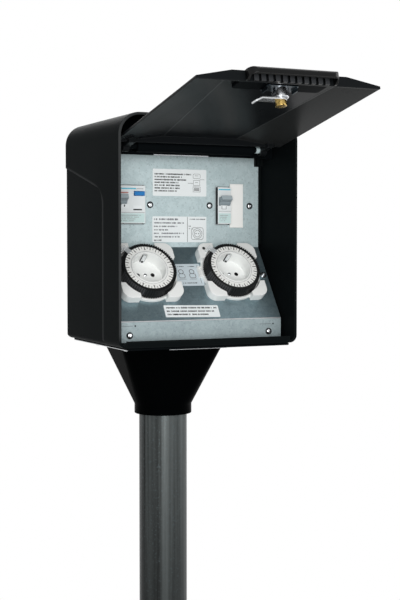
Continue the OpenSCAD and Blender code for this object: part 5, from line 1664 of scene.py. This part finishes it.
@dataclass
class Breakers(Assembly):
    """The residual current breaker, the small breaker beside a blank, and their levers."""

    row_z: float = 164.8
    nose_out: float = 6.5
    nose_h: float = 45.0
    rcd_x: float = -66.1
    rcd_w: float = 36.0
    mcb_x: float = 57.1
    mcb_w: float = 18.0
    lever_up: float = 0.25
    field_low: float = -0.1
    field_high: float = 0.06
    field_step: float = 0.01
    skin: float = 0.12
    side_gap: float = 0.3
    side_in: float = 0.7
    wording_h: float = 1.0
    wording_step: float = 2.2
    wording_lift: float = 0.2
    wording_pitch: float = 0.9
    wording_seed: int = 11

    def build(self) -> None:
        """Dresses the housings and draws their fronts."""
        self.dress(
            ("rcd_body", Finish.BREAKER, 0.5, 2, 40.0), ("mcb_body", Finish.BREAKER, 0.5, 2, 40.0),
            ("blank_filler", Finish.CREAM, 0.4, 2),
        )
        for node in ("rcd_toggle", "mcb_toggle"):
            lever = self.shop.copy(node, Finish.TOGGLE, 0.4, 2, 40.0)
            # painted shade on the faces that point down
            self.repaint(lever, Finish.TOGGLE_LOW, lambda face: face.normal.z < self.lever_up)
        self.dress(("rcd_test_button", Finish.BUTTON, 0.4, 2))
        self.front("rcd_front", self.rcd_x, [
            (-16.9, 18.0, 5.9, 19.5, Finish.CYAN), (6.6, 18.3, 15.2, 19.1, Finish.PALE_INK),
            (-16.5, 13.3, -3.8, 14.6, Finish.RED),
            (-11.9, -4.9, -3.4, 0.3, Finish.LABEL), (-9.6, -2.9, -8.3, -0.5, Finish.INK),
            (2.3, -4.7, 13.0, -1.5, Finish.LABEL), (2.3, -7.0, 13.4, -5.5, Finish.INK),
            (-17.2, -9.8, 16.8, -9.4, Finish.GREY_INK), (-17.2, -21.6, 16.8, -10.6, Finish.BREAKER_PLATE),
        ])
        self.front("mcb_front", self.mcb_x, [
            (-8.3, 18.9, 7.8, 20.4, Finish.CYAN),
            (-4.9, -5.3, 3.6, 0.2, Finish.LABEL), (-4.3, -4.6, -3.3, -0.6, Finish.PALE_INK),
            (1.6, -4.6, 2.6, -0.6, Finish.PALE_INK), (-3.3, -4.6, 1.6, -3.9, Finish.PALE_INK),
            (-8.3, -7.1, 8.3, -6.7, Finish.GREY_INK), (-8.2, -21.4, 8.2, -9.6, Finish.BREAKER_PLATE),
        ])
        # painted shade on the noses' left sides and undersides
        self.sides("rcd_sides", self.rcd_x, self.rcd_w)
        self.sides("mcb_sides", self.mcb_x, self.mcb_w)
        self.wording("rcd_wording", self.rcd_x, (-14.0, -13.0), 26.0, 3.0)
        self.wording("mcb_wording", self.mcb_x, (-6.6, -12.0), 12.0, 1.5)

    def face(self, x: float) -> Place:
        """Returns the frame on the middle of a breaker's nose."""
        return LAYOUT.panel().moved(x, self.row_z, self.nose_out)

    def front(
        self, name: str, x: float, fields: Sequence[tuple[float, float, float, float, Finish]]
    ) -> None:
        """Makes the coloured fields of a breaker's front as one thin piece.

        Args:
            name: Name of the piece.
            x: Offset of the breaker from the middle plane.
            fields: Left, lower, right and upper edge and finish of each field.
        """
        shape = Shape()
        finishes = list(dict.fromkeys(field[-1] for field in fields))
        for number, (left, low, right, high, finish) in enumerate(fields):
            top = self.field_high + self.field_step * number
            shape.block((left, low, self.field_low), (right, high, top), mat=finishes.index(finish))
        self.shop.piece(name, shape.mesh(name), ROOT, finishes, place=self.face(x))

    def sides(self, name: str, x: float, width: float) -> None:
        """Paints shade as thin dark sheets on the left side and the underside of a breaker's nose, where it
        leaves the panel.

        Args:
            name: Name of the piece.
            x: Offset of the breaker from the middle plane.
            width: Width of the breaker.
        """
        half, low, deep, front = width / 2, self.nose_h / 2, self.side_gap - self.nose_out, -self.side_in
        shape = Shape().block((-half - self.skin, -low - self.skin, deep), (-half, low, front))
        shape.block((-half, -low - self.skin, deep), (half, -low, front))
        self.add(name, shape, Finish.INK, self.face(x))

    def wording(self, name: str, x: float, start: Point2, reach: float, shorter: float) -> None:
        """Prints four generic lines on the lower plate of a breaker.

        Args:
            name: Name of the piece.
            x: Offset of the breaker from the middle plane.
            start: Left end and height of the first line.
            reach: Length of the first line.
            shorter: How much shorter each next line is.
        """
        left, top = start
        lines = [(left, top - self.wording_step * i, reach - shorter * i, self.wording_h) for i in range(4)]
        lift, pitch, seed = self.wording_lift, self.wording_pitch, self.wording_seed
        self.shop.marks(name, lines, lift, pitch, seed, Finish.PALE_INK, self.face(x))


@dataclass
class Timer(Assembly):
    """One timer socket: base, socket cup, turning dial, tappets, pointer and override slide."""

    side: Side
    dial_z: float = 16.0
    tick_r: float = 29.1
    rule_r: float = 22.9
    rule_w: float = 0.4
    number_r: float = 25.4
    number_size: float = 2.5
    number_lift: float = 0.06
    ring_r: float = 35.5
    ring_low: float = 3.0
    ring_top: float = 16.6
    taper: float = 1.8
    lip_r: float = 29.8
    collar_r: float = 30.9
    web_r: float = 27.6
    web_z: Point2 = (10.6, 13.5)
    socket_r: float = 20.5
    clip_w: float = 5.0
    clip_h: float = 13.4
    clip_in: float = 1.9
    clip_gap: float = 0.28
    foot_half: float = 1.3
    foot_h: float = 1.2
    contact_x: float = 9.5
    contact_r: float = 2.55
    contact_wall: float = 0.25
    contact_deep: float = 7.3
    contact_sunk: float = 0.1
    contact_bed: float = 0.3
    recess_floor: float = -0.2
    tappets: int = 72
    tappet_w: float = 1.9
    tappet_t: float = 2.4
    set_from: float = 3.35
    set_sweep: float = 1.05

    def build(self) -> None:
        """Dresses every piece of the timer."""
        word = self.side.word
        self.dress(
            (f"timer_base_{word}", Finish.WHITE, 0.5, 3), (f"timer_case_{word}", Finish.BREAKER, 0.4),
            (f"socket_insert_{word}", Finish.WHITE, 0.3, 2), (f"earth_clips_{word}", Finish.ZINC, 0.15),
            (f"time_pointer_{word}", Finish.CLEAR, 0.25), (f"override_{word}", Finish.WHITE, 0.25),
            (f"dial_{word}", Finish.DIAL, 0.25),
        )
        self.ticks()
        self.numbers()
        self.tappet_ring()
        # painted shade inside the contact holes
        self.contacts()
        # painted shade beside and under the earth clips
        self.clip_edges()

    @property
    def body(self) -> str:
        """Returns the body that turns with the dial."""
        return f"dial_wheel_{self.side.word}"

    @property
    def place(self) -> Place:
        """Returns the timer's frame on the panel."""
        return LAYOUT.timer(self.side)

    @property
    def dial_face(self) -> Place:
        """Returns the frame on the dial's face."""
        return self.place.moved(z=self.dial_z)

    def bars(self, label: str, finish: Finish, place: Place, sizes: dict[str, Any]) -> None:
        """Sets small bars round the dial's axis as one piece that turns with the dial.

        Args:
            label: First part of the piece's name.
            finish: Finish of the bars.
            place: Frame of the circle.
            sizes: Values of the tree's inputs.
        """
        shop = self.shop
        mesh = shop.repeater.run(shop.repeater.ring, {**sizes, "Finish": shop.material(finish)})
        shop.piece(f"{label}_{self.side.word}", mesh, self.body, [finish], place=place)

    def ticks(self) -> None:
        """Prints the half-hour and hour ticks round the dial's edge, and paints a fine ring of shade inside
        them at the step round the socket insert.
        """
        for label, count, inset, width, depth in (
            ("half_hour", 48, 0.8, 0.5, 3.2), ("hour", 24, 1.4, 0.8, 4.6),
        ):
            self.bars(f"{label}_ticks", Finish.INK, self.dial_face, {
                "Count": count, "Radius": self.tick_r - inset, "Width": width, "Depth": depth, "Height": 0.1,
                "Lift": 0.02,
            })
        # painted shade: a fine ring where the socket insert steps up from the dial
        outer, inner = (circle(r, steps=72) for r in (self.rule_r, self.rule_r - self.rule_w))
        rule = Shape().band(outer, inner, -0.03, 0.04)
        self.add(f"dial_rule_{self.side.word}", rule, Finish.PALE_INK, self.dial_face, self.body)

    def numbers(self) -> None:
        """Prints the even hours on the dial."""
        whole = Shape()
        for hour in range(2, 25, 2):
            curve = bpy.data.curves.new("hour", "FONT")
            curve.body = str(hour)
            curve.size = self.number_size
            curve.align_x, curve.align_y = "CENTER", "CENTER"
            mesh = evaluated(link(bpy.data.objects.new("hour", curve)))
            turn = -TURN * hour / 24
            up = Matrix.Translation((0.0, self.number_r, self.number_lift))
            mesh.transform(Matrix.Rotation(turn, 4, "Z") @ up)
            whole.join(mesh)
        self.add(f"dial_numbers_{self.side.word}", whole, Finish.INK, self.dial_face, self.body)

    def tappet_ring(self) -> None:
        """Makes the ring of tappets, a stretch of them set the other way."""
        low, top, rim = self.ring_low, self.ring_top, self.dial_z + 0.03
        wide, slim = self.ring_r - 1.0, self.ring_r - self.taper - 1.0
        web_low, web_top = self.web_z
        core = Shape().revolve([
            (self.web_r, web_low), (self.collar_r, low), (wide - 0.3, low), (wide, low + 0.4),
            (slim + 0.3, top - 0.9), (slim - 0.2, top - 0.1), (self.lip_r, top - 0.1), (self.lip_r, rim),
            (self.collar_r, rim), (self.collar_r, web_top), (self.web_r, web_top),
        ], 96)
        word = self.side.word
        self.add(f"tappet_core_{word}", core, Finish.TAPPET, self.place, self.body, [f"tappet_ring_{word}"])
        foot = low + 0.4
        middle, height, radius = (top + foot) / 2, top - foot, self.ring_r - self.taper / 2
        raised = round(self.tappets * self.set_sweep / TURN)
        for label, finish, start, sweep, count, inset, drop in (
            ("tappets", Finish.TAPPET, self.set_from + self.set_sweep, TURN - self.set_sweep,
             self.tappets - raised, 1.25, 0.0),
            # the set tappets are painted greyer, a painted sheen on that stretch
            ("set_tappets", Finish.TAPPET_GREY, self.set_from, self.set_sweep, raised, 1.55, 0.5),
        ):
            self.bars(label, finish, self.place, {
                "Count": count, "Radius": radius - inset, "Start": start, "Sweep": sweep,
                "Width": self.tappet_w, "Depth": self.tappet_t, "Lean": -math.atan(self.taper / height),
                "Height": height, "Lift": middle - drop, "Unevenness": 0.05, "Seed": 3,
            })

    def contacts(self) -> None:
        """Makes dark tubes that paint shade into the contact holes in the floor of the socket."""
        outer, inner = self.contact_r, self.contact_r - self.contact_wall
        floor, top = self.recess_floor - self.contact_deep, self.recess_floor - self.contact_sunk
        bed = floor + self.contact_bed
        profile = [(0.0, floor), (outer, floor), (outer, top), (inner, top), (inner, bed), (0.0, bed)]
        tubes = Shape()
        for sign in (-1, 1):
            tubes.revolve(profile, 28, sign * self.contact_x)
        self.add(f"contact_tubes_{self.side.word}", tubes, Finish.INK, self.place)

    def clip_edges(self) -> None:
        """Makes painted shade in the gaps beside each earth clip and at its foot."""
        half, foot, floor = self.clip_w / 2, self.foot_half, self.recess_floor
        reach, wall = self.socket_r - self.clip_in, self.socket_r - 0.05
        shape = Shape()
        for sign in (-1, 1):
            for edge in (-1, 1):
                low, high = sorted((edge * half, edge * (half + self.clip_gap)))
                near, far = sorted((sign * (reach + 0.1), sign * wall))
                shape.block((low, near, floor), (high, far, floor + self.clip_h))
            near, far = sorted((sign * (reach - 1.0), sign * reach))
            shape.block((-foot, near, floor - 0.1), (foot, far, floor + self.foot_h), 0.2)
        self.add(f"clip_edges_{self.side.word}", shape, Finish.INK, self.place)


@dataclass
class Lid(Assembly):
    """The hinged lid with its handle visor and backing pad."""

    edge: float = 0.5
    edge_angle: float = 8.0
    inside: float = 8.0
    wing_from: float = 50.0
    wing_x: float = -0.04
    wing_z: float = -0.5
    crease_from: Point2 = (47.4, 20.0)
    crease_to: Point2 = (65.2, 228.0)
    crease_half: float = 0.75
    crease_sunk: float = 0.15
    crease_up: float = 0.2
    rib_end: float = 243.0
    rib_round: float = 0.6
    rib_front: float = -0.3

    def build(self) -> None:
        """Dresses the lid and the handle."""
        panel = self.shop.copy("lid_panel", Finish.LID, self.edge, 3, self.edge_angle)
        # painted light on the inside of the right wing
        self.repaint(panel, Finish.LID_WING, self.is_right_wing)
        self.creases()
        handle = self.shop.copy("handle_grip", Finish.HANDLE, self.rib_round, 3)
        # painted light on the front ends of the ribs
        self.repaint(handle, Finish.RIB, self.is_rib_end)
        self.dress(("handle_pad", Finish.INNER_BLACK, 0.8, 2))

    def is_right_wing(self, face: MeshPolygon) -> bool:
        """Tells whether a face is the inside of the right wing, painted a little paler as painted light."""
        inner = face.normal.z < self.wing_z and face.normal.x < self.wing_x
        return inner and face.center.x > self.wing_from * MM

    def is_rib_end(self, face: MeshPolygon) -> bool:
        """Tells whether a face is the front end of one of the handle's ribs, painted paler as painted light.

        Args:
            face: The face.

        Returns:
            Whether it is one.
        """
        origin, back = Vector(LAYOUT.lid().origin), Vector(LAYOUT.lid().y)
        along = back.dot(origin - face.center / MM)
        return abs(along - self.rib_end) < self.rib_round and back.dot(face.normal) < self.rib_front

    def creases(self) -> None:
        """Lays a painted highlight line along each crease inside the lid."""
        (near_x, near_u), (far_x, far_u), half = self.crease_from, self.crease_to, self.crease_half
        shape = Shape()
        for sign in (-1, 1):
            line = [(sign * near_x - half, -near_u), (sign * far_x - half, -far_u),
                    (sign * far_x + half, -far_u), (sign * near_x + half, -near_u)]
            shape.prism(line, self.inside - self.crease_sunk, self.inside + self.crease_up)
        self.add("lid_creases", shape, Finish.LID_LINE, LAYOUT.lid(), "lid")


@dataclass
class Lock(Assembly):
    """The cam lock: barrel, spring clip, plug, cam and screw."""

    def build(self) -> None:
        """Dresses the lock."""
        self.dress(
            ("lock_barrel", Finish.NICKEL, 0.3), ("lock_clip", Finish.BLUED, 0.25),
            ("lock_plug", Finish.NICKEL, 0.25), ("cam_lever", Finish.ZINC, 0.3),
            ("cam_screw", Finish.BRASS, 0.4),
        )


@dataclass
class Wiring(Assembly):
    """The terminal block, the tube's edge ring and the wires inside the hood."""

    def build(self) -> None:
        """Dresses the inner pieces."""
        self.dress(
            ("terminal_block", Finish.CREAM, 0.4), ("terminal_screws", Finish.BRASS, 0.2),
            ("tube_grommet", Finish.RUBBER, 0.3), ("supply_wires", Finish.WIRE_BROWN, 0.0),
            ("timer_wires", Finish.WIRE_BLUE, 0.0), ("earth_wire", Finish.WIRE_GREEN, 0.0),
        )


@dataclass(frozen=True)
class Lamp:
    """One soft studio lamp, in metres and watts."""

    name: str
    place: Point3
    aim: Point3
    size: Point2
    watts: float

    def build(self) -> None:
        """Adds the lamp to the scene."""
        data = bpy.data.lights.new(self.name, "AREA")
        data.shape = "RECTANGLE"
        data.size, data.size_y = self.size
        data.energy = self.watts
        lamp = link(bpy.data.objects.new(self.name, data))
        lamp.location = self.place
        lamp.rotation_euler = (Vector(self.aim) - Vector(self.place)).to_track_quat("-Z", "Y").to_euler()


@dataclass
class Studio:
    """The plain floor, the soft light and the camera."""

    eye: Point3 = (-0.6104, -1.4374, 0.9179)
    tilt: float = -2.60
    yaw: float = -24.73
    lens: float = 74.34
    picture_h: float = 36.0
    floor_r: float = 1300.0
    floor_z: Point2 = (-12.0, -0.5)
    ambient: float = 0.45

    def build(self) -> None:
        """Sets up floor, world, lamps and camera."""
        self.floor()
        self.world()
        for lamp in (
            Lamp("front", (-0.9, -2.4, 1.05), (0.0, -0.1, 0.92), (1.4, 1.3), 46.0),
            Lamp("side", (2.2, -0.7, 1.3), (0.0, -0.1, 0.9), (1.2, 1.6), 14.0),
            Lamp("top", (0.2, -0.2, 2.7), (0.0, -0.1, 0.9), (1.6, 1.4), 16.0),
            Lamp("back", (0.7, 2.4, 1.5), (0.0, 0.0, 0.8), (1.4, 1.4), 22.0),
        ):
            lamp.build()
        self.camera()
        bpy.context.scene.view_settings.view_transform = "Standard"

    def floor(self) -> None:
        """Lays a pale round floor under the post."""
        mesh = Shape().prism(circle(self.floor_r, steps=96), *self.floor_z, 3.0).mesh("floor")
        mesh.transform(Place((0.0, 0.0, 0.0)).matrix())
        material, sheet, shader = open_material("floor_finish")
        cloud = sheet.noise(sheet.place(), 6.0, 4.0)
        sheet.join(sheet.blend(cloud, (0.80, 0.80, 0.795), (0.83, 0.83, 0.825)), shader.inputs["Base Color"])
        sheet.join(0.8, shader.inputs["Roughness"])
        mesh.materials.append(material)
        floor = link(bpy.data.objects.new("floor", mesh))

    def world(self) -> None:
        """Makes a white surround that lights the part at a plain level."""
        world = bpy.data.worlds.new("surround")
        bpy.context.scene.world = world
        world.use_nodes = True
        sheet = NodeSheet(world.node_tree)
        background = world.node_tree.nodes["Background"].inputs
        path = sheet.add("ShaderNodeLightPath").outputs
        seen = sheet.maths("MAXIMUM", path["Is Camera Ray"], path["Is Glossy Ray"])
        seen = sheet.maths("MAXIMUM", seen, path["Is Transmission Ray"])
        sheet.join((1.0, 1.0, 1.0, 1.0), background["Color"])
        sheet.join(sheet.spread(seen, self.ambient, 1.0), background["Strength"])

    def camera(self) -> None:
        """Sets the camera at the photograph's viewing angle."""
        data = bpy.data.cameras.new("view")
        data.sensor_fit = "VERTICAL"
        data.sensor_height = self.picture_h
        data.lens = self.lens
        data.clip_start = 0.05
        camera = link(bpy.data.objects.new("view", data))
        camera.location = self.eye
        camera.rotation_euler = (math.radians(90.0 + self.tilt), 0.0, math.radians(self.yaw))
        bpy.context.scene.camera = camera


def main() -> None:
    """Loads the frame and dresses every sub-assembly."""
    logging.basicConfig(level=logging.INFO, format="%(message)s")
    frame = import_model()
    Studio().build()
    shop = Workshop(frame)
    timers = [Timer(shop, side) for side in Side]
    for assembly in (
        PostAndNeck(shop), Hood(shop), SwitchPanel(shop), Breakers(shop), *timers, Fasteners(shop),
        Lid(shop), Lock(shop), Wiring(shop),
    ):
        assembly.build()
        LOG.info("%s done", type(assembly).__name__)


if __name__ == "__main__":
    main()
